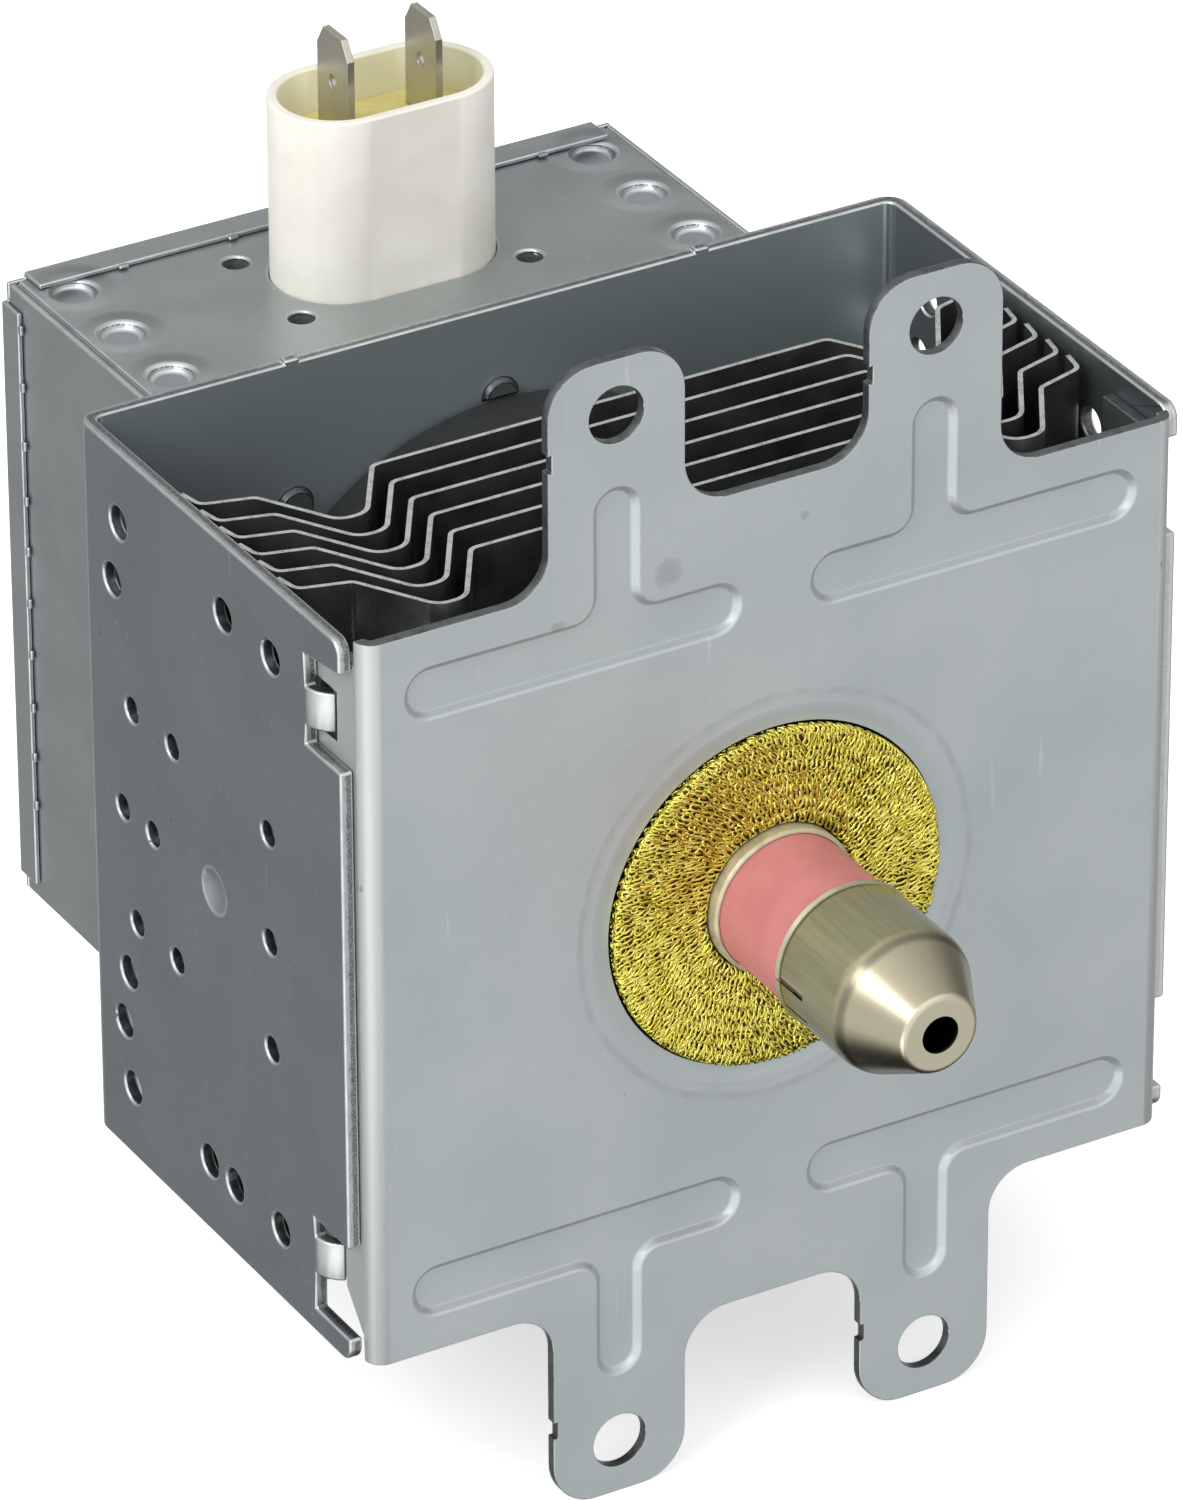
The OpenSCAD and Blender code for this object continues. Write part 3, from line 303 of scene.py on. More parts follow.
@dataclass(frozen=True)
class Finish:
    """Surface of one kind of material.

    Attributes:
        name: Name of the material.
        base: Main colour.
        shade: Colour of the darker spots.
        rough: Mean roughness.
        metal: Share of metal.
        spot: Size of the spots in millimetres.
        grain: Size of the fine grain in millimetres.
        grain_depth: Depth of the fine grain in millimetres.
    """

    name: str
    base: Colour
    shade: Colour
    rough: float
    metal: float
    spot: float
    grain: float
    grain_depth: float

    def colour(self, place: Place) -> Value:
        """Colour over the surface: clouds of the two colours."""
        return place.at.noise(self.spot).ramp(0.3, 0.75).mix(self.base, self.shade)

    def roughness(self, place: Place) -> Value:
        """Roughness over the surface."""
        return self.rough + 0.2 * (place.at.noise(self.spot / 2) - 0.5)

    def height(self, place: Place) -> Value:
        """Fine heights of the surface, in shares of the grain's depth."""
        return place.at.noise(self.grain)

    def material(self) -> bpy.types.Material:
        """Builds the material, or finds it again.

        Returns:
            The material.
        """
        known = bpy.data.materials.get(self.name)
        if known is not None:
            return known
        made = bpy.data.materials.new(self.name)
        made.use_nodes = True
        graph = Graph(made.node_tree)
        shader = made.node_tree.nodes["Principled BSDF"]
        place = graph.place()
        shader.inputs["Metallic"].default_value = self.metal
        graph.feed(shader.inputs["Base Color"], self.colour(place))
        graph.feed(shader.inputs["Roughness"], self.roughness(place))
        values = {"Strength": 1.0, "Distance": self.grain_depth * MM, "Height": self.height(place)}
        graph.feed(shader.inputs["Normal"], graph.value("ShaderNodeBump", values=values))
        made.diffuse_color = (*self.base, 1.0)
        return made


@dataclass(frozen=True)
class ZincSheet(Finish):
    """Zinc-plated sheet with faint clouds, pits and hairline scratches.

    Attributes:
        scratch: Strength of the scratches.
        bright: Colour of the scratches.
        pit: Colour of the pits.
    """

    scratch: float = 0.35
    bright: Colour = (0.75, 0.78, 0.79)
    pit: Colour = (0.05, 0.055, 0.06)

    def colour(self, place: Place) -> Value:
        """Clouds, pits and scratches.

        Args:
            place: Position on the piece.

        Returns:
            The colour.
        """
        clouds = place.at.noise(self.spot).ramp(0.25, 0.8).mix(self.base, self.shade)
        fine = place.at.noise(0.7, 2).ramp(0.62, 0.78) * 0.15
        lines = place.at.noise(1.2, 2, (0.9, 0.9, 0.07)).ramp(0.68, 0.73)
        kept = place.at.noise(14).ramp(0.5, 0.7)
        scratched = (lines * kept * self.scratch).mix(fine.mix(clouds, self.bright), self.bright)
        pits = 1 - place.at.cells(11).ramp(0.015, 0.03)
        return (pits * 0.6).mix(scratched, self.pit)

    def roughness(self, place: Place) -> Value:
        """Even gloss with a fine grain."""
        return self.rough + 0.05 * (place.at.noise(1.5) - 0.5)


@dataclass(frozen=True)
class FrontSheet(ZincSheet):
    """Front plate: zinc sheet with smudges, rubbed bends, a coined ring with painted shade and sheen, and
    painted shade on the ribs' lower walls and flanges.

    Attributes:
        smudges: Places of the smudges in X and Z, and their radius, in millimetres.
        smudge: Strength of the smudges.
        soot: Colour of the smudges.
        ring_r: Radius of the coined ring round the gasket in millimetres.
        flange: Half distance of the flanges' inner sides and their depth behind the face, in millimetres.
        painted_shade: Colour of the painted shade on the flanges' inner sides.
        bend: Half width at which the plate starts to bend in millimetres.
        rubbed: Colour of the bends, which are rubbed, and of the painted sheen round the coined ring.
        scuff: Colour of the scuffs on the bends.
        ribs: Middle and half of the depth in which the ribs' walls get painted shade, in millimetres.
        lower: Heights of the ribs' lower walls, which get painted shade, in millimetres.
        shadow: Colour of the painted shade on the ribs' lower walls and round the coined ring.
    """

    smudges: tuple[Point, ...] = ((-12.0, 39.0, 1.9), (-24.0, 36.5, 0.9), (3.0, 41.0, 0.6))
    smudge: float = 0.28
    soot: Colour = (0.16, 0.17, 0.17)
    ring_r: float = 20.6
    flange: tuple[float, float] = (44.4, 2.4)
    painted_shade: Colour = (0.19, 0.205, 0.21)
    bend: float = 43.2
    rubbed: Colour = (0.515, 0.545, 0.527)
    scuff: Colour = (0.16, 0.165, 0.16)
    ribs: tuple[float, float] = (0.43, 0.21)
    lower: tuple[float, ...] = (30.7, -35.9)
    shadow: Colour = (0.29, 0.305, 0.325)

    def ring(self, place: Place, beyond: float, soft: float) -> Value:
        """Broken ring round the gasket.

        Args:
            place: Position on the piece.
            beyond: Distance of the ring from the coined one in millimetres.
            soft: Width over which the ring fades in millimetres.

        Returns:
            The share of the ring.
        """
        far = place.x.hypot(place.z)
        wander = 0.8 * (place.at.noise(9, 1) - 0.5)
        broken = place.at.noise(3, 2).ramp(0.35, 0.65)
        return (far + wander).band(self.ring_r + beyond, 0.15, soft) * (0.3 + 0.7 * broken)

    def colour(self, place: Place) -> Value:
        """Zinc with smudges, painted shade and sheen round the ring, painted shade on the ribs' lower walls,
        rubbed bends and painted shade on the flanges' inner sides.

        Args:
            place: Position on the piece.

        Returns:
            The colour.
        """
        made = super().colour(place)
        rag = 1.6 * (place.at.noise(0.9) - 0.5)
        for x, z, radius in self.smudges:
            far = (place.x - x).hypot(place.z - z)
            spot = 1 - (far + rag).ramp(radius * 0.5, radius)
            made = (spot * self.smudge).mix(made, self.soot)
        # Painted shade and painted sheen: a darker line and a paler line round the coined ring.
        made = (self.ring(place, 1.4, 0.4) * 0.3).mix(made, self.shadow)
        made = (self.ring(place, 0.5, 0.4) * 0.25).mix(made, self.rubbed)
        # Painted shade on the ribs' lower walls.
        lower = sum(place.z.band(height, 0.5, 0.3) for height in self.lower)
        walls = place.y.band(*self.ribs, 0.05) * lower
        made = (walls * 0.5).mix(made, self.shadow)
        bent = abs(place.x).ramp(self.bend, self.bend + 0.8)
        kept = place.at.noise(9).ramp(0.5, 0.65)
        scuffs = place.at.noise(0.8, 3, (1, 1, 0.35)).ramp(0.66, 0.72) * kept
        worn = bent.mix(made, (scuffs * 0.6).mix(self.rubbed, self.scuff))
        # Painted shade on the flanges' inner sides.
        half, depth = self.flange
        inner = place.y.ramp(depth - 0.8, depth) * (1 - abs(place.x).ramp(half, half + 0.2))
        return inner.mix(worn, self.painted_shade)

    def height(self, place: Place) -> Value:
        """Grain with a faint ring round the gasket."""
        return super().height(place) * 0.5 + 2.2 * self.ring(place, 1.3, 0.7)


@dataclass(frozen=True)
class YokeSheet(ZincSheet):
    """Zinc sheet of the yoke, with painted light on the inside of its rear wall.

    Attributes:
        inside: Colour of the rear wall's inside, lighter as painted light.
        wall: Half width and depth of that inside in millimetres.
        dimple: Depth and radius of the side plates' dimples in millimetres.
        painted_highlight: Colour of the painted highlights on the dimples' rims.
        tabs: Depth behind the clinch tabs, half of a tab's width and the tabs' heights in millimetres.
        rubbed: Colour of the clinch tabs, which their tool has rubbed bright.
    """

    inside: Colour = (0.61, 0.72, 0.75)
    wall: tuple[float, float] = (44.8, 53.3)
    dimple: tuple[float, float] = (28.0, 2.45)
    painted_highlight: Colour = (0.75, 0.77, 0.78)
    tabs: tuple[float, float, tuple[float, ...]] = (8.8, 2.15, (30.2, -31.2))
    rubbed: Colour = (0.56, 0.59, 0.59)

    def colour(self, place: Place) -> Value:
        """Zinc with painted light on the rear wall's inside, clinch tabs rubbed bright and painted highlights
        on the rims of the dimples.

        Args:
            place: Position on the piece.

        Returns:
            The colour.
        """
        half, depth = self.wall
        aside = abs(place.x)
        # Painted light: the inside of the rear wall gets a lighter colour.
        within = (1 - aside.ramp(half - 0.2, half)) * place.y.band(depth, 0.1, 0.1)
        painted_lit_inside = within.mix(super().colour(place), self.inside)
        middle, radius = self.dimple
        far = (place.y - middle).hypot(place.z)
        # Painted highlight on the dimples' rims.
        rim = far.band(radius, 0.1, 0.2) * aside.ramp(half + 1.0, half + 1.3)
        floor = (1 - far.ramp(radius - 0.3, radius)) * aside.ramp(half, half + 0.3)
        painted_rim_highlight = (rim * 0.5).mix((floor * 0.35).mix(painted_lit_inside, self.rubbed), self.painted_highlight)
        before, width, heights = self.tabs
        curled = sum(place.z.band(height, width, 0.1) for height in heights)
        outer = aside.ramp(half - 0.4, half + 0.4) * (1 - place.y.ramp(before - 0.8, before))
        return (curled * outer).mix(painted_rim_highlight, self.rubbed)


@dataclass(frozen=True)
class BoxSheet(ZincSheet):
    """Zinc sheet of the box, drawn up softly round its clinch joints.

    Attributes:
        joint: Distance from the middle in X and middle of the row in Y, in millimetres.
        pitch: Distance between neighbouring joints in millimetres.
        swell: Radii between which the sheet rises, in millimetres.
        rise: Height of the rise, in shares of the grain's depth.
        top: Height of the sheet that carries the joints in millimetres.
    """

    joint: tuple[float, float] = (30.0, 76.39)
    pitch: float = 10.3
    swell: tuple[float, float] = (2.4, 4.8)
    rise: float = 34
    top: float = 34.5

    def height(self, place: Place) -> Value:
        """Grain with soft mounds round the joints, three on each side.

        Args:
            place: Position on the piece.

        Returns:
            The heights, in shares of the grain's depth.
        """
        across = abs(place.x) - self.joint[0]
        from_row = place.y - self.joint[1]
        nearest = (from_row / self.pitch).rounded().least(1.0).most(-1.0)
        far = across.hypot(from_row - nearest * self.pitch)
        mound = (1 - far.ramp(*self.swell)) * place.z.ramp(self.top - 0.1, self.top)
        return super().height(place) + self.rise * mound


@dataclass(frozen=True)
class ShearedEdge(Finish):
    """Sheared edge of a sheet with the fine grain of the break."""

    def colour(self, place: Place) -> Value:
        """Grain of the break.

        Args:
            place: Position on the piece.

        Returns:
            The colour.
        """
        rough = place.at.noise(self.grain, 3).ramp(0.35, 0.7)
        patches = place.at.noise(self.spot, 2).ramp(0.4, 0.65)
        return (rough * patches).mix(self.base, self.shade)


@dataclass(frozen=True)
class YokeEdge(ShearedEdge):
    """Sheared edge of the yoke: smooth towards the outside, broken off dark towards the inside.

    Attributes:
        half: Half width of the yoke at which the break starts in millimetres.
        rear: Depth of the yoke at which the break starts in millimetres.
        soft: Half of the width over which the break starts in millimetres.
        broken: Colour of the break.
        pale: Colour of the cleaner front edge at the right.
        front: Depths between which that cleaner edge ends in millimetres.
    """

    half: float = 46.05
    rear: float = 54.1
    soft: float = 0.12
    broken: Colour = (0.09, 0.095, 0.095)
    pale: Colour = (0.74, 0.75, 0.74)
    front: tuple[float, float] = (2.6, 3.4)

    def colour(self, place: Place) -> Value:
        """Smooth and broken half of the edge.

        Args:
            place: Position on the piece.

        Returns:
            The colour.
        """
        wander = 0.3 * (place.at.noise(1.2, 2) - 0.5)
        aside = (abs(place.x) + wander).ramp(self.half - self.soft, self.half + self.soft)
        behind = (place.y + wander).ramp(self.rear - self.soft, self.rear + self.soft)
        torn = place.at.noise(self.grain, 3).ramp(0.3, 0.7)
        right = place.x.ramp(-1, 1) * (1 - place.y.ramp(*self.front))
        inside = (1 - aside) * (1 - behind) * (0.45 + 0.5 * torn) * (1 - 0.7 * right)
        clean = (right * 0.7).mix(super().colour(place), self.pale)
        return inside.mix(clean, self.broken)


@dataclass(frozen=True)
class BurnishedRim(Finish):
    """Rubbed rim of a sheet, with painted shade in the shelter of the yoke's rear wall.

    Attributes:
        painted_shade: Colour of the painted shade in the shelter.
        wall: Depth and height of the shelter in millimetres.
    """

    painted_shade: Colour = (0.1, 0.107, 0.11)
    wall: tuple[float, float] = (53.5, 38.0)

    def colour(self, place: Place) -> Value:
        """Rubbed colour that fades into painted shade in the shelter.

        Args:
            place: Position on the piece.

        Returns:
            The colour.
        """
        depth, height = self.wall
        # Painted shade on the rims in the shelter of the yoke's rear wall.
        within = place.y.band(depth, 1.0, 0.2) * (1 - place.z.ramp(height - 1.0, height))
        return within.mix(super().colour(place), self.painted_shade)


@dataclass(frozen=True)
class DrawnCap(Finish):
    """Deep-drawn cap: fine lines along the axis, pale flat tip, painted shade at the shoulder and above the
    rear rim, painted highlights on the rim's lip.

    Attributes:
        tip: Colour of the flat tip, also of the painted highlights on the rear rim's lip and on the burr.
        cone: Colour of the cone.
        crease_shade: Colour of the painted shade at the shoulder.
        groove_shade: Colour of the painted shade a little above the rear rim.
        scratch: Colour of the painted shade in the scratch.
        tip_height: Height of the tip in millimetres.
        shoulder: Heights between which the cap turns into the cone, in millimetres.
        rim: Height of the rear rim in millimetres.
        radius: Radius of the cap in millimetres.
        tick: Place of a scratch round the cap and along it, in millimetres.
        burr: Distance of the burr, which has a painted highlight, from the scratch in millimetres.
    """

    tip: Colour = (0.6, 0.56, 0.43)
    cone: Colour = (0.39, 0.365, 0.29)
    crease_shade: Colour = (0.09, 0.085, 0.06)
    groove_shade: Colour = (0.06, 0.055, 0.04)
    scratch: Colour = (0.03, 0.03, 0.02)
    tip_height: float = 30.25
    shoulder: tuple[float, float] = (22.8, 24.3)
    rim: float = 13.2
    radius: float = 7.8
    tick: tuple[float, float] = (-12.2, 16.0)
    burr: float = 0.32

    def colour(self, place: Place) -> Value:
        """Drawn lines, the pale tip, painted shade in a scratch, at the shoulder and above the rear rim, and
        painted highlights on the burr and the rim's lip.

        Args:
            place: Position on the piece.

        Returns:
            The colour.
        """
        height = place.y * -1.0
        around = place.x.angle(place.z) * self.radius
        unrolled = height.graph.combine(around, height * 0.05, 0.0)
        lines = unrolled.noise(0.5, 3).ramp(0.35, 0.75)
        cone = height.ramp(*self.shoulder)
        plain = (cone * 0.7).mix(self.base, self.cone)
        drawn = (lines * (0.5 - 0.35 * cone)).mix(plain, self.shade)
        start, middle = self.tick
        reach = height.band(middle, 2.0, 0.2)
        # Painted shade in the scratch, and a painted highlight on its burr beside it.
        scratch, burr = (around.band(at, 0.09, 0.1) * reach for at in (start, start + self.burr))
        marked = (scratch * 0.8).mix((burr * 0.6).mix(drawn, self.tip), self.scratch)
        # Painted shade where the cap turns into the cone.
        crease_shade = height.band(self.shoulder[0] + 1.4, 0.1, 0.6)
        # Painted shade in a band a little above the rear rim.
        groove_shade = height.band(self.rim + 0.75, 0.06, 0.12)
        painted_cap_shade = (groove_shade * 0.7).mix((crease_shade * 0.6).mix(marked, self.crease_shade), self.groove_shade)
        # Painted highlight on the rear rim's lip.
        painted_rim_highlight = (1 - height.ramp(self.rim + 0.4, self.rim + 0.55)).mix(painted_cap_shade, self.tip)
        return height.ramp(self.tip_height - 0.25, self.tip_height + 0.1).mix(painted_rim_highlight, self.tip)

    def roughness(self, place: Place) -> Value:
        """Rougher beyond the shoulder."""
        cone = (place.y * -1.0).ramp(*self.shoulder)
        return self.rough + 0.08 * cone + 0.04 * (place.at.noise(1.5) - 0.5)


@dataclass(frozen=True)
class Moulded(Finish):
    """Moulded plastic that yellows towards the inside.

    Attributes:
        inner: Colour of the inside.
        dark: Colour of the ticks.
        middle: Middle of the case in Y, in millimetres.
        inner_half: Half of the inner width in millimetres.
        reach: Distance of the round ends' centres from the middle in millimetres.
    """

    inner: Colour = (0.82, 0.8, 0.6)
    dark: Colour = (0.12, 0.11, 0.09)
    middle: float = 77.0
    inner_half: float = 6.2
    reach: float = 5.0

    def colour(self, place: Place) -> Value:
        """Outer and inner colour with a few dark ticks.

        Args:
            place: Position on the piece.

        Returns:
            The colour.
        """
        beyond = (abs(place.x) - self.reach).most(0.0)
        far = beyond.hypot(place.y - self.middle)
        inside = 1 - far.ramp(self.inner_half - 0.25, self.inner_half + 0.05)
        toned = inside.mix(super().colour(place), self.inner)
        ticks = 1 - place.at.cells(8.5).ramp(0.012, 0.03)
        return (ticks * 0.5).mix(toned, self.dark)


class Finishes:
    """All finishes of the part: name, two colours, roughness, metal, spot, grain and the grain's depth."""

    plate = FrontSheet("front_zinc", rgb(186, 193, 194), rgb(176, 184, 186), 0.48, 0.72, 16.0, 0.5, 0.006)
    yoke = YokeSheet("yoke_zinc_sheet", rgb(148, 155, 158), rgb(140, 147, 150), 0.38, 0.85, 12.0, 0.5, 0.008)
    box = BoxSheet("box_zinc_sheet", rgb(172, 178, 179), rgb(160, 167, 168), 0.36, 0.8, 9.0, 0.5, 0.01)
    edge = ShearedEdge("sheared_edge", rgb(172, 177, 179), rgb(120, 125, 127), 0.38, 0.85, 1.6, 0.15, 0.008)
    yoke_edge = YokeEdge("yoke_edge", rgb(184, 189, 190), rgb(140, 145, 147), 0.36, 0.85, 1.6, 0.15, 0.008)
    plate_edge = ShearedEdge("plate_edge", rgb(112, 116, 117), rgb(62, 65, 66), 0.4, 0.85, 1.4, 0.15, 0.008)
    hole = Finish("hole_wall", rgb(104, 108, 110), rgb(60, 63, 64), 0.42, 0.85, 1.0, 0.3, 0.02)
    rim = BurnishedRim("burnished_rim", rgb(206, 210, 211), rgb(184, 189, 191), 0.36, 0.9, 3.0, 0.3, 0.002)
    fin = Finish("fin_sheet", rgb(140, 142, 140), rgb(96, 98, 96), 0.3, 0.9, 4.0, 0.5, 0.01)
    # Pale cut edges of the fins: bare metal, made paler still as a painted highlight.
    fin_edge = ShearedEdge("fin_edge", rgb(228, 230, 226), rgb(150, 152, 149), 0.28, 0.85, 1.0, 0.2, 0.01)
    ferrite = Finish("ferrite_black", rgb(31, 32, 31), rgb(24, 24, 24), 0.7, 0.0, 4.0, 0.3, 0.02)
    tarnish = Finish("copper_tarnished", rgb(96, 62, 46), rgb(60, 40, 32), 0.55, 0.7, 2.0, 0.3, 0.01)
    copper = Finish("copper_red", rgb(200, 125, 90), rgb(150, 85, 60), 0.35, 1.0, 5.0, 0.3, 0.01)
    iron = Finish("iron_grey", rgb(120, 124, 126), rgb(90, 93, 95), 0.45, 0.9, 4.0, 0.3, 0.01)
    cathode = Finish("cathode_grey", rgb(110, 112, 115), rgb(80, 82, 85), 0.4, 1.0, 2.0, 0.2, 0.01)
    seal = Finish("seal_metal_warm", rgb(204, 194, 168), rgb(176, 165, 138), 0.48, 0.5, 2.0, 0.3, 0.01)
    pink = Finish("ceramic_pink", rgb(204, 128, 128), rgb(193, 117, 118), 0.5, 0.0, 5.0, 0.25, 0.008)
    white = Finish("ceramic_white", rgb(226, 218, 206), rgb(206, 197, 184), 0.5, 0.0, 4.0, 0.25, 0.008)
    cap = DrawnCap("cap_drawn", rgb(182, 173, 137), rgb(155, 145, 109), 0.2, 1.0, 2.0, 0.3, 0.002)
    brass = Finish("mesh_brass_wire", rgb(230, 219, 114), rgb(196, 182, 70), 0.17, 1.0, 1.2, 0.2, 0.004)
    # Dark brass core: painted shade of the knit's deeper layers below the wires.
    brass_dark = Finish("mesh_brass_core_shade", rgb(70, 61, 22), rgb(42, 36, 13), 0.5, 0.8, 0.8, 0.25, 0.03)
    enamel = Finish("enamel_copper", rgb(150, 82, 48), rgb(110, 56, 30), 0.25, 0.6, 3.0, 0.3, 0.005)
    dark_resin = Finish("resin_dark", rgb(66, 62, 58), rgb(48, 45, 42), 0.55, 0.0, 4.0, 0.4, 0.01)
    capacitor = Finish("capacitor_brown", rgb(148, 100, 78), rgb(120, 78, 60), 0.55, 0.0, 4.0, 0.4, 0.01)
    resin = Finish("resin_yellow", rgb(230, 219, 150), rgb(212, 198, 116), 0.3, 0.0, 3.0, 0.6, 0.02)
    ivory = Moulded("ivory_plastic_case", rgb(238, 235, 226), rgb(229, 225, 213), 0.45, 0.0, 6.0, 0.6, 0.01)
    tin = Finish("tinned_tab", rgb(196, 193, 178), rgb(178, 175, 160), 0.3, 0.85, 7.0, 0.3, 0.01)


@dataclass
class Assembly:
    """Group of CAD nodes that is dressed together.

    Attributes:
        nodes: CAD nodes by name.
        ray_gap: Distance of a test ray's start from its face in millimetres.
        deep: Least depth behind a cut edge, in thicknesses of the sheet.
        coin_gap: Distance from a coined step within which faces belong to it, in millimetres.
        weld_gap: Distance at which corners are merged in millimetres.
        flat_angle: Largest angle between faces that count as one plane, in degrees.
    """

    nodes: Mapping[str, bpy.types.Object]
    ray_gap: float = 0.01
    deep: float = 1.8
    coin_gap: float = 0.2
    weld_gap: float = 0.002
    flat_angle: float = 0.5

    def dress(self) -> None:
        """Finishes the nodes and adds the new pieces."""
        raise NotImplementedError

    def named(self, *starts: str) -> list[str]:
        """Names of the nodes that begin with one of the given starts, in order."""
        return sorted(name for name in self.nodes if name.startswith(starts))

    def paint(self, finish: Finish, *starts: str) -> None:
        """Gives nodes one finish.

        Args:
            finish: Finish to use.
            starts: Starts of the nodes' names.
        """
        for name in self.named(*starts):
            mesh = self.nodes[name].data
            mesh.materials.clear()
            mesh.materials.append(finish.material())
            log.info("%s: %s", name, finish.name)

    def mark_edges(
        self, name: str, edge: Finish, sheet: float, coined_r: float = 0.0, hole_d: float = 0.0
    ) -> None:
        """Gives a sheet's cut edges and the walls of its small holes finishes of their own.

        Args:
            name: Node of the sheet.
            edge: Finish of the edges.
            sheet: Thickness by which cut edges are told from faces, in millimetres.
            coined_r: Radius of a coined step round the axis that isn't a cut edge, in millimetres.
            hole_d: Largest diameter of a small hole in millimetres.
        """
        mesh = self.nodes[name].data
        mesh.materials.append(edge.material())
        mesh.materials.append(Finishes.hole.material())
        tree = BVHTree.FromPolygons([v.co for v in mesh.vertices], [p.vertices for p in mesh.polygons])
        marked = 0
        for face in mesh.polygons:
            gap = face.normal * (self.ray_gap * MM)
            depth = tree.ray_cast(face.center - gap, -face.normal)[3]
            far = math.hypot(face.center.x, face.center.z) / MM
            thin = depth is not None and depth <= self.deep * sheet * MM
            if thin or abs(far - coined_r) < self.coin_gap:
                continue
            across = tree.ray_cast(face.center + gap, face.normal)[3]
            in_hole = across is not None and across < hole_d * MM
            face.material_index = (SheetSlot.HOLE if in_hole else SheetSlot.EDGE).value
            marked += 1
        log.info("%s: %d of %d faces are cut edges", name, marked, len(mesh.polygons))

    def soften(self, name: str, width: float, angle: float = 40.0, rim: Finish | None = None) -> None:
        """Breaks the sharp edges of a node.

        Args:
            name: Node to soften.
            width: Width of the broken edges in millimetres.
            angle: Smallest angle that counts as an edge, in degrees.
            rim: Finish of the broken edges, if they have one of their own.
        """
        piece = self.nodes[name]
        weld = piece.modifiers.new("weld", "WELD")
        weld.merge_threshold = self.weld_gap * MM
        planes = piece.modifiers.new("planes", "DECIMATE")
        planes.decimate_type = "DISSOLVE"
        planes.angle_limit = math.radians(self.flat_angle)
        bevel = piece.modifiers.new("soft_edges", "BEVEL")
        bevel.use_clamp_overlap = False
        bevel.width = width * MM
        bevel.segments = 3
        bevel.limit_method = "ANGLE"
        bevel.angle_limit = math.radians(angle)
        bevel.harden_normals = True
        if rim is not None:
            piece.data.materials.append(rim.material())
            bevel.material = len(piece.data.materials) - 1


def add_object(name: str, data: bpy.types.ID) -> bpy.types.Object:
    """Adds an object to the scene.

    Args:
        name: Name of the object.
        data: Its mesh, curve, camera or lamp.

    Returns:
        The object.
    """
    made = bpy.data.objects.new(name, data)
    bpy.context.scene.collection.objects.link(made)
    return made


def place_piece(
    name: str, data: bpy.types.Mesh, finish: Finish, smooth: bool = True
) -> bpy.types.Object:
    """Puts a mesh into the scene as a piece of the part.

    Args:
        name: Name of the piece.
        data: Its mesh, in metres.
        finish: Its finish.
        smooth: Whether the faces are shaded smooth.

    Returns:
        The object.
    """
    data.materials.clear()
    data.materials.append(finish.material())
    data.polygons.foreach_set("use_smooth", [smooth] * len(data.polygons))
    made = add_object(name, data)
    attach(made, "root")
    log.info("%s: %d faces", name, len(data.polygons))
    return made


class Shape:
    """New piece made with mesh operators, in millimetres."""

    def __init__(self, name: str) -> None:
        """Starts an empty piece of a name."""
        self.name = name
        self.mesh = bmesh.new()

    def block(self, centre: Point, size: Point) -> None:
        """Adds a block of a size about its centre."""
        matrix = Matrix.Translation(centre) @ Matrix.Diagonal((*size, 1.0))
        bmesh.ops.create_cube(self.mesh, size=1.0, matrix=matrix)

    def lathe(self, profile: Sequence[tuple[float, float]], steps: int) -> None:
        """Turns a closed profile about the tube axis.

        Args:
            profile: Points in radius and Y.
            steps: Number of steps round the axis.
        """
        points = [self.mesh.verts.new((r, y, 0.0)) for r, y in profile]
        edges = [self.mesh.edges.new((a, b)) for a, b in zip(points, points[1:] + points[:1])]
        bmesh.ops.spin(
            self.mesh, geom=points + edges, cent=(0, 0, 0), axis=(0, 1, 0),
            angle=math.tau, steps=steps, use_merge=True,
        )

    def finish(self, finish: Finish, slot: str, smooth: bool = True) -> bpy.types.Object:
        """Turns the piece into an object of the part.

        Args:
            finish: Finish of the piece.
            slot: Name of a material slot; not used.
            smooth: Whether the faces are shaded smooth.

        Returns:
            The object.
        """
        bmesh.ops.recalc_face_normals(self.mesh, faces=self.mesh.faces[:])
        bmesh.ops.scale(self.mesh, vec=(MM, MM, MM), verts=self.mesh.verts[:])
        data = bpy.data.meshes.new(self.name)
        self.mesh.to_mesh(data)
        self.mesh.free()
        return place_piece(self.name, data, finish, smooth)


def wire_mesh(name: str, radius: float, lines: Sequence[Sequence[Vector]]) -> bpy.types.Mesh:
    """Makes one mesh of closed round wires.

    Args:
        name: Name of the bundle.
        radius: Radius of the wires in millimetres.
        lines: Points of the wires' middle lines in millimetres.

    Returns:
        The mesh, in metres.
    """
    curve = bpy.data.curves.new(name, "CURVE")
    curve.dimensions = "3D"
    curve.bevel_depth = radius * MM
    curve.bevel_resolution = 1
    curve.use_fill_caps = True
    for points in lines:
        line = curve.splines.new("POLY")
        line.points.add(len(points) - 1)
        line.points.foreach_set("co", [c for p in points for c in (*(p * MM), 1.0)])
        line.use_cyclic_u = True
    holder = add_object(name + "_line", curve)
    shown = holder.evaluated_get(bpy.context.evaluated_depsgraph_get())
    data = bpy.data.meshes.new_from_object(shown)
    bpy.data.objects.remove(holder)
    bpy.data.curves.remove(curve)
    return data


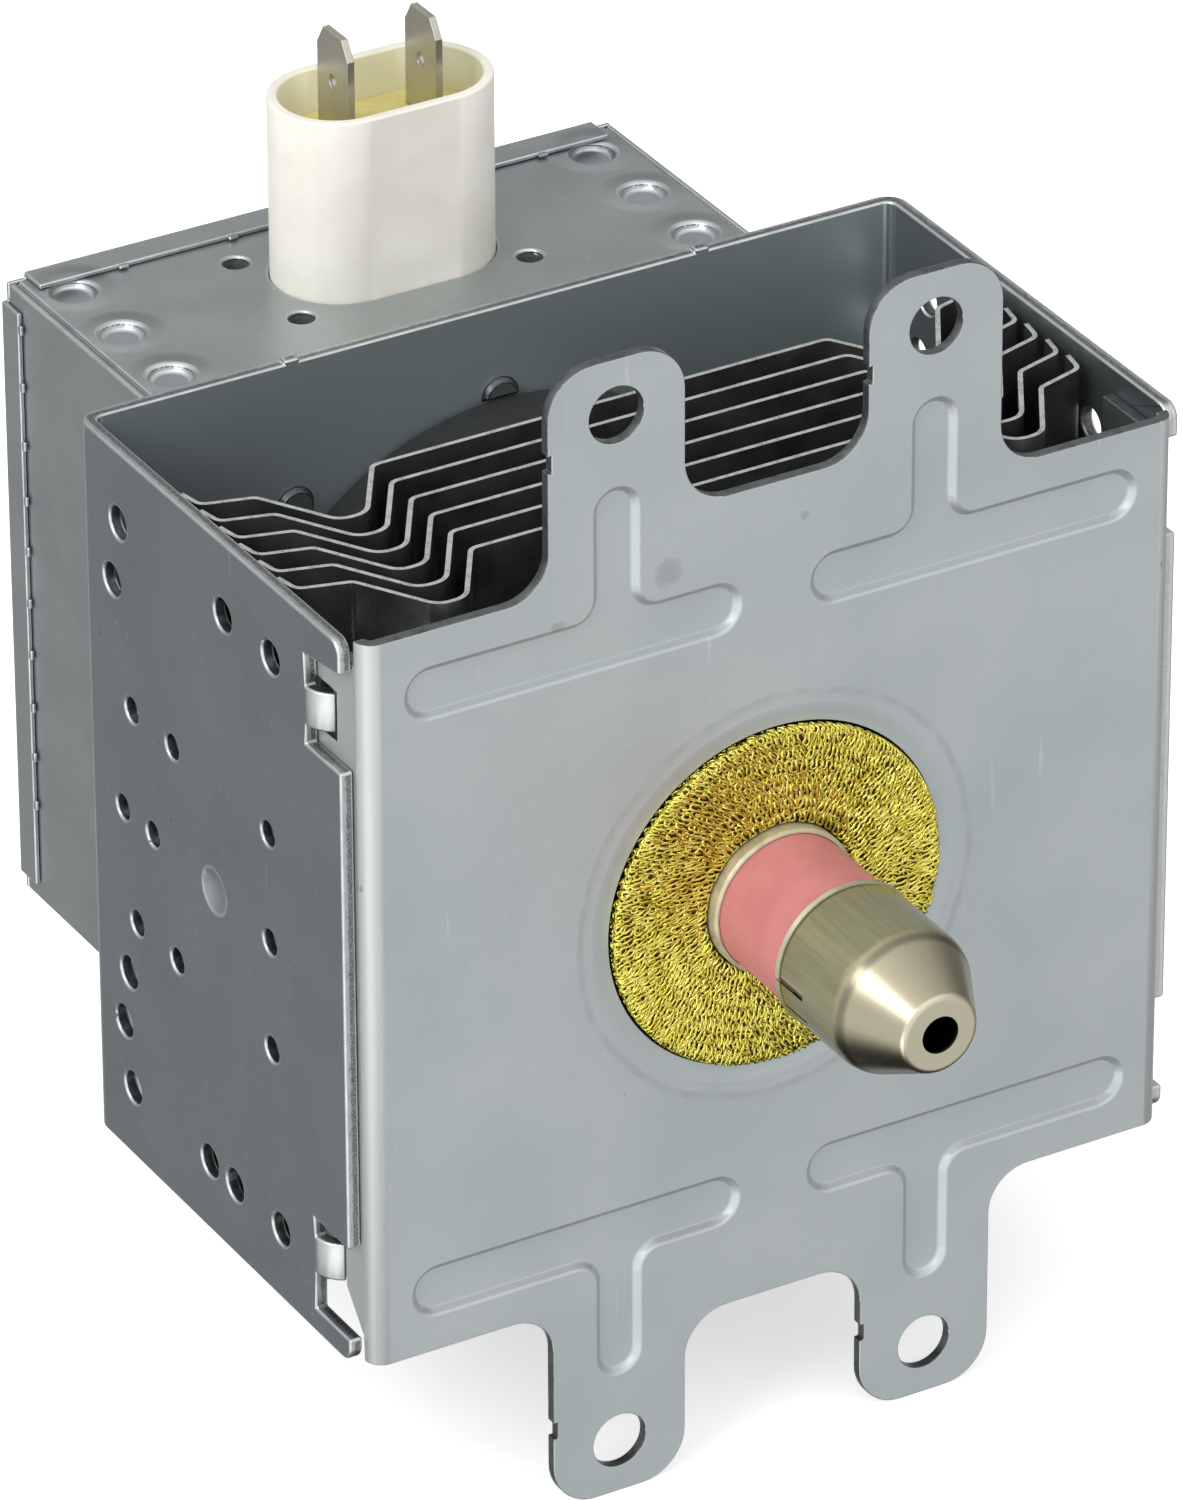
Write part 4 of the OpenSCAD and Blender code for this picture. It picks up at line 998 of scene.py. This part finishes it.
@dataclass
class Yoke(Assembly):
    """Folded yoke with its magnets and pole pieces.

    Attributes:
        sheet: Thickness of the yoke's sheet in millimetres.
        edge_break: Width of the softened edges in millimetres.
        edge_angle: Smallest angle of a softened edge in degrees.
        hole_d: Largest diameter of the small holes in millimetres.
    """

    sheet: float = 1.4
    edge_break: float = 0.26
    edge_angle: float = 21.0
    hole_d: float = 4.0

    def dress(self) -> None:
        """Finishes the yoke, the magnets and the pole pieces."""
        self.paint(Finishes.yoke, "yoke_frame")
        self.mark_edges("yoke_frame", Finishes.yoke_edge, self.sheet, hole_d=self.hole_d)
        self.soften("yoke_frame", self.edge_break, self.edge_angle, Finishes.rim)
        self.paint(Finishes.ferrite, "front_magnet", "rear_magnet")
        self.paint(Finishes.iron, "front_pole_piece", "rear_pole_piece")


@dataclass
class FrontPlate(Assembly):
    """Front plate with ears and ribs.

    Attributes:
        sheet: Thickness of the plate in millimetres.
        edge_break: Width of the softened edges in millimetres.
        edge_angle: Smallest angle of a softened edge in degrees.
        coined_r: Radius of the coined step round the gasket in millimetres.
        dish_size: Inner and outer radius and depth of the coined dish in millimetres.
        dish_proud: Height by which the dish covers the plate in millimetres.
        dish_lip: Width of the flat lips at the dish's rims in millimetres.
        dish_steps: Numbers of steps across and round the dish.
    """

    sheet: float = 1.2
    edge_break: float = 0.15
    edge_angle: float = 22.0
    coined_r: float = 20.6
    dish_size: tuple[float, float, float] = (18.65, 20.75, 0.15)
    dish_proud: float = 0.006
    dish_lip: float = 0.01
    dish_steps: tuple[int, int] = (16, 120)

    def dish(self) -> None:
        """Builds the soft coined dish over the step round the gasket."""
        inner, outer, deep = self.dish_size
        across, around = self.dish_steps
        face: list[tuple[float, float]] = []
        for step in range(across + 1):
            share = step / across
            rise = share * share * (3 - 2 * share)
            face.append((inner + (outer - inner) * share, deep * (1 - rise) - self.dish_proud))
        face.insert(1, (inner + self.dish_lip, face[0][1]))
        face.insert(-1, (outer - self.dish_lip, face[-1][1]))
        shape = Shape("coined_dish")
        shape.lathe([*face, (outer, deep), (inner, 1.5 * deep)], around)
        shape.finish(Finishes.plate, "plate_zinc")

    def dress(self) -> None:
        """Builds the dish and finishes the plate."""
        self.dish()
        self.paint(Finishes.plate, "front_plate")
        self.mark_edges("front_plate", Finishes.plate_edge, self.sheet, self.coined_r)
        self.soften("front_plate", self.edge_break, self.edge_angle)


@dataclass
class FinPack(Assembly):
    """Anode with its cooling fins.

    Attributes:
        sheet: Thickness of a fin in millimetres.
    """

    sheet: float = 0.5

    def dress(self) -> None:
        """Finishes the fins and the anode."""
        self.paint(Finishes.fin, "cooling_fin_")
        for name in self.named("cooling_fin_"):
            self.mark_edges(name, Finishes.fin_edge, self.sheet)
        self.paint(Finishes.copper, "anode_", "strap_")


@dataclass
class TubeInside(Assembly):
    """Cathode, leads and stem."""

    def dress(self) -> None:
        """Finishes the inner pieces."""
        self.paint(Finishes.cathode, "cathode_")
        self.paint(Finishes.copper, "antenna_lead")
        self.paint(Finishes.tarnish, "exhaust_tube")
        self.paint(Finishes.seal, "stem_seal_sleeve", "stem_terminal_")
        self.paint(Finishes.white, "stem_ceramic")


@dataclass
class Antenna(Assembly):
    """Output ceramic with its sleeve and cap.

    Attributes:
        edge_break: Width of the sleeve's softened edges in millimetres.
    """

    edge_break: float = 0.12

    def dress(self) -> None:
        """Finishes the antenna."""
        self.paint(Finishes.seal, "output_seal_sleeve")
        self.paint(Finishes.pink, "output_ceramic")
        self.paint(Finishes.cap, "antenna_cap")
        self.soften("output_seal_sleeve", self.edge_break)


@dataclass
class Gasket(Assembly):
    """Knitted gasket round the antenna.

    Attributes:
        wire_r: Radius of the wires in millimetres.
        row_pitch: Distance between neighbouring rows in millimetres.
        stitch: Width of a stitch in millimetres.
        stitch_steps: Number of points in a stitch.
        swell: Least length of a stitch and its random part, in shares of the usual one.
        lean: Least lean of a stitch and its random part, in stitches.
        lift: Random height of a stitch in millimetres.
        edge_r: Radius on the gasket's edges in millimetres.
        side: Depth to which the rows turn over the outer edge in millimetres.
        seed: Seed of the random wander.
        layers: Name of each layer, its depth in millimetres and the shift of its rows in pitches.
        core_steps: Numbers of steps across and round the core.
    """

    wire_r: float = 0.145
    row_pitch: float = 1.4
    stitch: float = 1.15
    stitch_steps: int = 10
    swell: tuple[float, float] = (0.65, 0.6)
    lean: tuple[float, float] = (-0.1, 0.55)
    lift: float = 0.16
    edge_r: float = 0.45
    side: float = 0.95
    seed: int = 7
    layers: tuple[tuple[str, float, float], ...] = (
        ("gasket_rows_front", 0.0, 0.45), ("gasket_rows_middle", 0.06, 0.95), ("gasket_rows_rear", 0.16, 0.7),
    )
    core_steps: tuple[int, int] = (24, 96)
    inner_r: float = field(init=False)
    outer_r: float = field(init=False)
    front: float = field(init=False)
    back: float = field(init=False)

    def __post_init__(self) -> None:
        """Reads the gasket's size from its CAD node."""
        low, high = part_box("rf_gasket")
        self.outer_r = high.x / MM
        self.front = low.y / MM
        self.back = high.y / MM
        radii = [math.hypot(v.co.x, v.co.z) for v in self.nodes["rf_gasket"].data.vertices]
        self.inner_r = min(radii) / MM

    def surface(self, radius: float) -> float:
        """Height of the gasket's front at a radius.

        Args:
            radius: Distance from the axis in millimetres.

        Returns:
            The front's Y in millimetres.
        """
        margin = min(radius - self.inner_r, self.outer_r - radius)
        if margin >= self.edge_r:
            return self.front
        inside = self.edge_r - max(margin, 0.0)
        return self.front + self.edge_r - math.sqrt(self.edge_r ** 2 - inside ** 2)

    def core(self) -> bpy.types.Object:
        """Builds the core below the wires, dark as painted shade of the knit's deeper layers.

        Returns:
            The core.
        """
        across, round_axis = self.core_steps
        sunk = 2.6 * self.wire_r
        outer = self.outer_r - 2 * self.wire_r
        inner = self.inner_r + 2 * self.wire_r
        radii = [inner + (outer - inner) * step / across for step in range(across + 1)]
        profile = [(r, self.surface(r) + sunk) for r in radii] + [(outer, self.back), (inner, self.back)]
        shape = Shape("gasket_core")
        shape.lathe(profile, round_axis)
        return shape.finish(Finishes.brass_dark, "mesh_brass")

    def row(self, dice: random.Random, radius: float, sunk: float) -> list[Vector]:
        """Middle line of one knitted row.

        Args:
            dice: Source of the random wander.
            radius: Mean radius of the row in millimetres.
            sunk: Depth of the row below the gasket's front in millimetres.

        Returns:
            The points in millimetres.
        """
        count = round(math.tau * radius / self.stitch)
        shift = dice.random() * math.tau
        least = self.inner_r + 1.1 * self.wire_r
        limit = self.outer_r - 1.1 * self.wire_r - sunk
        points: list[Vector] = []
        for loop in range(count):
            swell = self.swell[0] + self.swell[1] * dice.random()
            lean = self.lean[0] + self.lean[1] * dice.random()
            lift = dice.random() * self.lift
            for step in range(self.stitch_steps):
                turn = math.tau * step / self.stitch_steps
                along = loop + step / self.stitch_steps + 0.2 * math.sin(2 * turn) + lean * math.cos(turn)
                reach = radius + swell * self.row_pitch * 0.52 * math.cos(turn)
                r = min(max(reach, least), limit)
                over = min(max(reach - limit, 0.0), self.side)
                wave = 0.09 * (1 + math.cos(2 * turn))
                y = self.surface(r) + 1.15 * self.wire_r + sunk + lift + wave + over
                angle = shift + math.tau * along / count
                points.append(Vector((r * math.cos(angle), y, r * math.sin(angle))))
        return points

    def knit(self, name: str, sunk: float, offset: float) -> None:
        """Knits one layer of rows.

        Args:
            name: Name of the piece.
            sunk: Depth of the layer in millimetres.
            offset: Shift of the rows in shares of their pitch.
        """
        dice = random.Random(self.seed + round(100 * offset))
        rows: list[list[Vector]] = []
        radius = self.inner_r + offset * self.row_pitch
        while radius < self.outer_r + 0.5 * self.row_pitch:
            rows.append(self.row(dice, radius, sunk))
            radius += self.row_pitch
        place_piece(name, wire_mesh(name, self.wire_r, rows), Finishes.brass)

    def dress(self) -> None:
        """Replaces the plain ring by a knitted one."""
        self.paint(Finishes.brass, "rf_gasket")
        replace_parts(self.core(), "rf_gasket")
        for layer in self.layers:
            self.knit(*layer)


@dataclass
class FilterBox(Assembly):
    """Filter box with lid, chokes and small marks of the lid's tool.

    Attributes:
        box_sheet: Thickness of the box's sheet in millimetres.
        box_break: Width of the box's softened edges in millimetres.
        lid_sheet: Thickness of the lid's sheet in millimetres.
        lid_break: Width of the lid's softened edges in millimetres.
        nib_heights: Heights of the nibs on the lid's side flanges in millimetres.
        nib_places: Places of the nibs along the lid's top flange in millimetres.
        nib: Thickness, depth and length of a nib in millimetres.
        nib_break: Width of the nibs' broken edges in millimetres.
        hole_d: Largest diameter of the small holes in millimetres.
    """

    box_sheet: float = 0.7
    box_break: float = 0.3
    lid_sheet: float = 0.5
    lid_break: float = 0.18
    nib_heights: tuple[float, ...] = (31.0, 24.5, 17.8, 11.5, 5.7, -0.3, -6.3, -12.5, -18.3, -24.0)
    nib_places: tuple[float, ...] = (-23.5, -11.0, 25.0)
    nib: Point = (0.4, 0.9, 1.1)
    nib_break: float = 0.12
    hole_d: float = 3.0

    def nibs(self) -> None:
        """Adds the small nibs at the front edges of the lid's flanges."""
        low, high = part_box("filter_box_lid")
        edge_y = low.y / MM
        inset = self.lid_sheet / 2
        shape = Shape("lid_nibs")
        for z in self.nib_heights:
            for x in (low.x / MM + inset, high.x / MM - inset):
                shape.block((x, edge_y, z), self.nib)
        for x in self.nib_places:
            shape.block((x, edge_y, high.z / MM - inset), self.nib[::-1])
        bmesh.ops.bevel(
            shape.mesh, geom=shape.mesh.edges[:], offset=self.nib_break, segments=1, profile=0.5,
            affect="EDGES", material=-1,
        )
        shape.finish(Finishes.edge, "box_zinc", False)

    def dress(self) -> None:
        """Finishes the box, the lid and the chokes."""
        self.paint(Finishes.box, "filter_box", "ground_plate")
        self.mark_edges("filter_box", Finishes.edge, self.box_sheet * 2, hole_d=self.hole_d)
        self.mark_edges("filter_box_lid", Finishes.edge, self.lid_sheet)
        self.soften("filter_box", self.box_break, rim=Finishes.rim)
        self.soften("filter_box_lid", self.lid_break, rim=Finishes.rim)
        self.paint(Finishes.enamel, "choke_coil_")
        self.paint(Finishes.ferrite, "choke_core_")
        self.nibs()


@dataclass
class Plug(Assembly):
    """Capacitor with its case and plug tabs.

    Attributes:
        case_break: Width of the case's softened edges in millimetres.
        tab_break: Width of the tabs' softened edges in millimetres.
    """

    case_break: float = 0.25
    tab_break: float = 0.1

    def dress(self) -> None:
        """Finishes the capacitor."""
        self.paint(Finishes.ivory, "capacitor_case")
        self.soften("capacitor_case", self.case_break)
        self.paint(Finishes.resin, "capacitor_potting")
        self.paint(Finishes.capacitor, "capacitor_element")
        self.paint(Finishes.dark_resin, "capacitor_base")
        self.paint(Finishes.tin, "terminal_tab_", "feed_rod_")
        for name in self.named("terminal_tab_"):
            self.soften(name, self.tab_break)


@dataclass
class Stage:
    """Camera, floor and light.

    Attributes:
        position: Place of the camera in metres.
        target: Point that the camera looks at in metres.
        roll: Turn of the camera about its view in degrees.
        lens: Focal length in millimetres.
        sensor: Width of the camera's sensor in millimetres.
        toward: Direction of the brightest part of the surrounding light.
        dim: Light from the darkest direction.
        bright: Light from the brightest direction.
        deep: Share of that light that is left straight from below.
        panel: Direction of the bright panel that the plate's bend mirrors.
        panel_light: Light of that panel.
        sky: Further light from above.
        key: Place of the lamp in metres.
        key_size: Edge length of the lamp in metres.
        key_watts: Power of the lamp.
        floor_half: Half of the floor's width in metres.
        floor_tone: Colour of the floor.
        floor_glow: Light that the floor gives to the camera alone.
    """

    position: Point = (-0.485200, -0.805020, 0.557769)
    target: Point = (-0.003136, 0.030054, 0.002068)
    roll: float = -0.25
    lens: float = 270.61
    sensor: float = 36.0
    toward: Point = (-0.55, -0.83, 0.1)
    dim: float = 0.25
    bright: float = 1.2
    deep: float = 0.06
    panel: Point = (-0.75, -0.45, -0.48)
    panel_light: float = 1.0
    sky: float = 0.38
    key: Point = (-1.05, -0.4, 0.85)
    key_size: float = 0.5
    key_watts: float = 6.4
    floor_half: float = 6.0
    floor_tone: Colour = (0.8, 0.8, 0.8)
    floor_glow: float = 0.55

    def aim(self, made: bpy.types.Object, place: Point, roll: float = 0.0) -> None:
        """Puts a camera or lamp at a place and points it at the target.

        Args:
            made: Camera or lamp.
            place: Its place in metres.
            roll: Its turn about its view in degrees.
        """
        made.location = place
        made.rotation_mode = "QUATERNION"
        view = (Vector(self.target) - Vector(place)).to_track_quat("-Z", "Y")
        made.rotation_quaternion = view @ Quaternion((0, 0, 1), math.radians(roll))

    def camera(self) -> None:
        """Makes the camera."""
        data = bpy.data.cameras.new("camera")
        data.sensor_fit = "AUTO"
        data.sensor_width = self.sensor
        data.lens = self.lens
        data.clip_start = 0.01
        data.clip_end = 50.0
        made = add_object("camera", data)
        self.aim(made, self.position, self.roll)
        bpy.context.scene.camera = made

    def surroundings(self) -> None:
        """Makes the soft light all round, and the white backdrop that camera and metal see."""
        world = bpy.data.worlds.new("studio")
        world.use_nodes = True
        bpy.context.scene.world = world
        graph = Graph(world.node_tree)
        shader = world.node_tree.nodes["Background"]
        ray = graph.value("ShaderNodeTexCoord", output="Generated")
        high = ray.split()[2]
        level = self.dim + (self.bright - self.dim) * ray.along(Vector(self.toward)).ramp(-0.7, 0.95)
        graded = level * (self.deep + (1 - self.deep) * high.ramp(-0.9, -0.46))
        panel = self.panel_light * ray.along(Vector(self.panel)).ramp(0.86, 0.985)
        total = graded + panel + self.sky * high.ramp(0.1, 0.75)
        light = graph.combine(total, total, total)
        behind = ray.along(Vector(self.target) - Vector(self.position)).ramp(0.8, 0.95)
        paths = graph.node("ShaderNodeLightPath")
        seen, glossy, passed = (
            Value(graph, paths.outputs[name])
            for name in ("Is Camera Ray", "Is Glossy Ray", "Is Transmission Ray")
        )
        share = seen.most(glossy.most(passed) * behind)
        graph.feed(shader.inputs["Color"], share.mix(light, (1.0, 1.0, 1.0)))

    def lamp(self) -> None:
        """Adds the soft lamp."""
        data = bpy.data.lights.new("key", "AREA")
        data.size = self.key_size
        data.energy = self.key_watts
        self.aim(add_object("key", data), self.key)

    def floor(self) -> None:
        """Makes the pale floor."""
        shape = bmesh.new()
        bmesh.ops.create_grid(shape, x_segments=1, y_segments=1, size=self.floor_half)
        bmesh.ops.translate(shape, verts=shape.verts[:], vec=(0, 0, REST_BOUNDS[0].z))
        data = bpy.data.meshes.new("floor")
        shape.to_mesh(data)
        shape.free()
        made = add_object("floor", data)
        made.visible_glossy = False
        paint = bpy.data.materials.new("floor_white")
        paint.use_nodes = True
        graph = Graph(paint.node_tree)
        shader = paint.node_tree.nodes["Principled BSDF"]
        graph.feed(shader.inputs["Base Color"], self.floor_tone)
        shader.inputs["Roughness"].default_value = 1.0
        shader.inputs["Specular IOR Level"].default_value = 0.0
        shader.inputs["Emission Strength"].default_value = self.floor_glow
        seen = graph.value("ShaderNodeLightPath", output="Is Camera Ray")
        graph.feed(shader.inputs["Emission Color"], seen.mix((0.0, 0.0, 0.0), (1.0, 1.0, 1.0)))
        data.materials.append(paint)

    def build(self) -> None:
        """Makes the whole stage."""
        self.camera()
        self.surroundings()
        self.floor()
        self.lamp()
        bpy.context.scene.view_settings.view_transform = "Standard"
        log.info("stage ready")


def main() -> None:
    """Dresses the part and sets the stage."""
    groups: tuple[type[Assembly], ...] = (
        Yoke, FrontPlate, FinPack, TubeInside, Antenna, Gasket, FilterBox, Plug,
    )
    for group in groups:
        group(frame["nodes"]).dress()
    Stage().build()


if __name__ == "__main__":
    main()
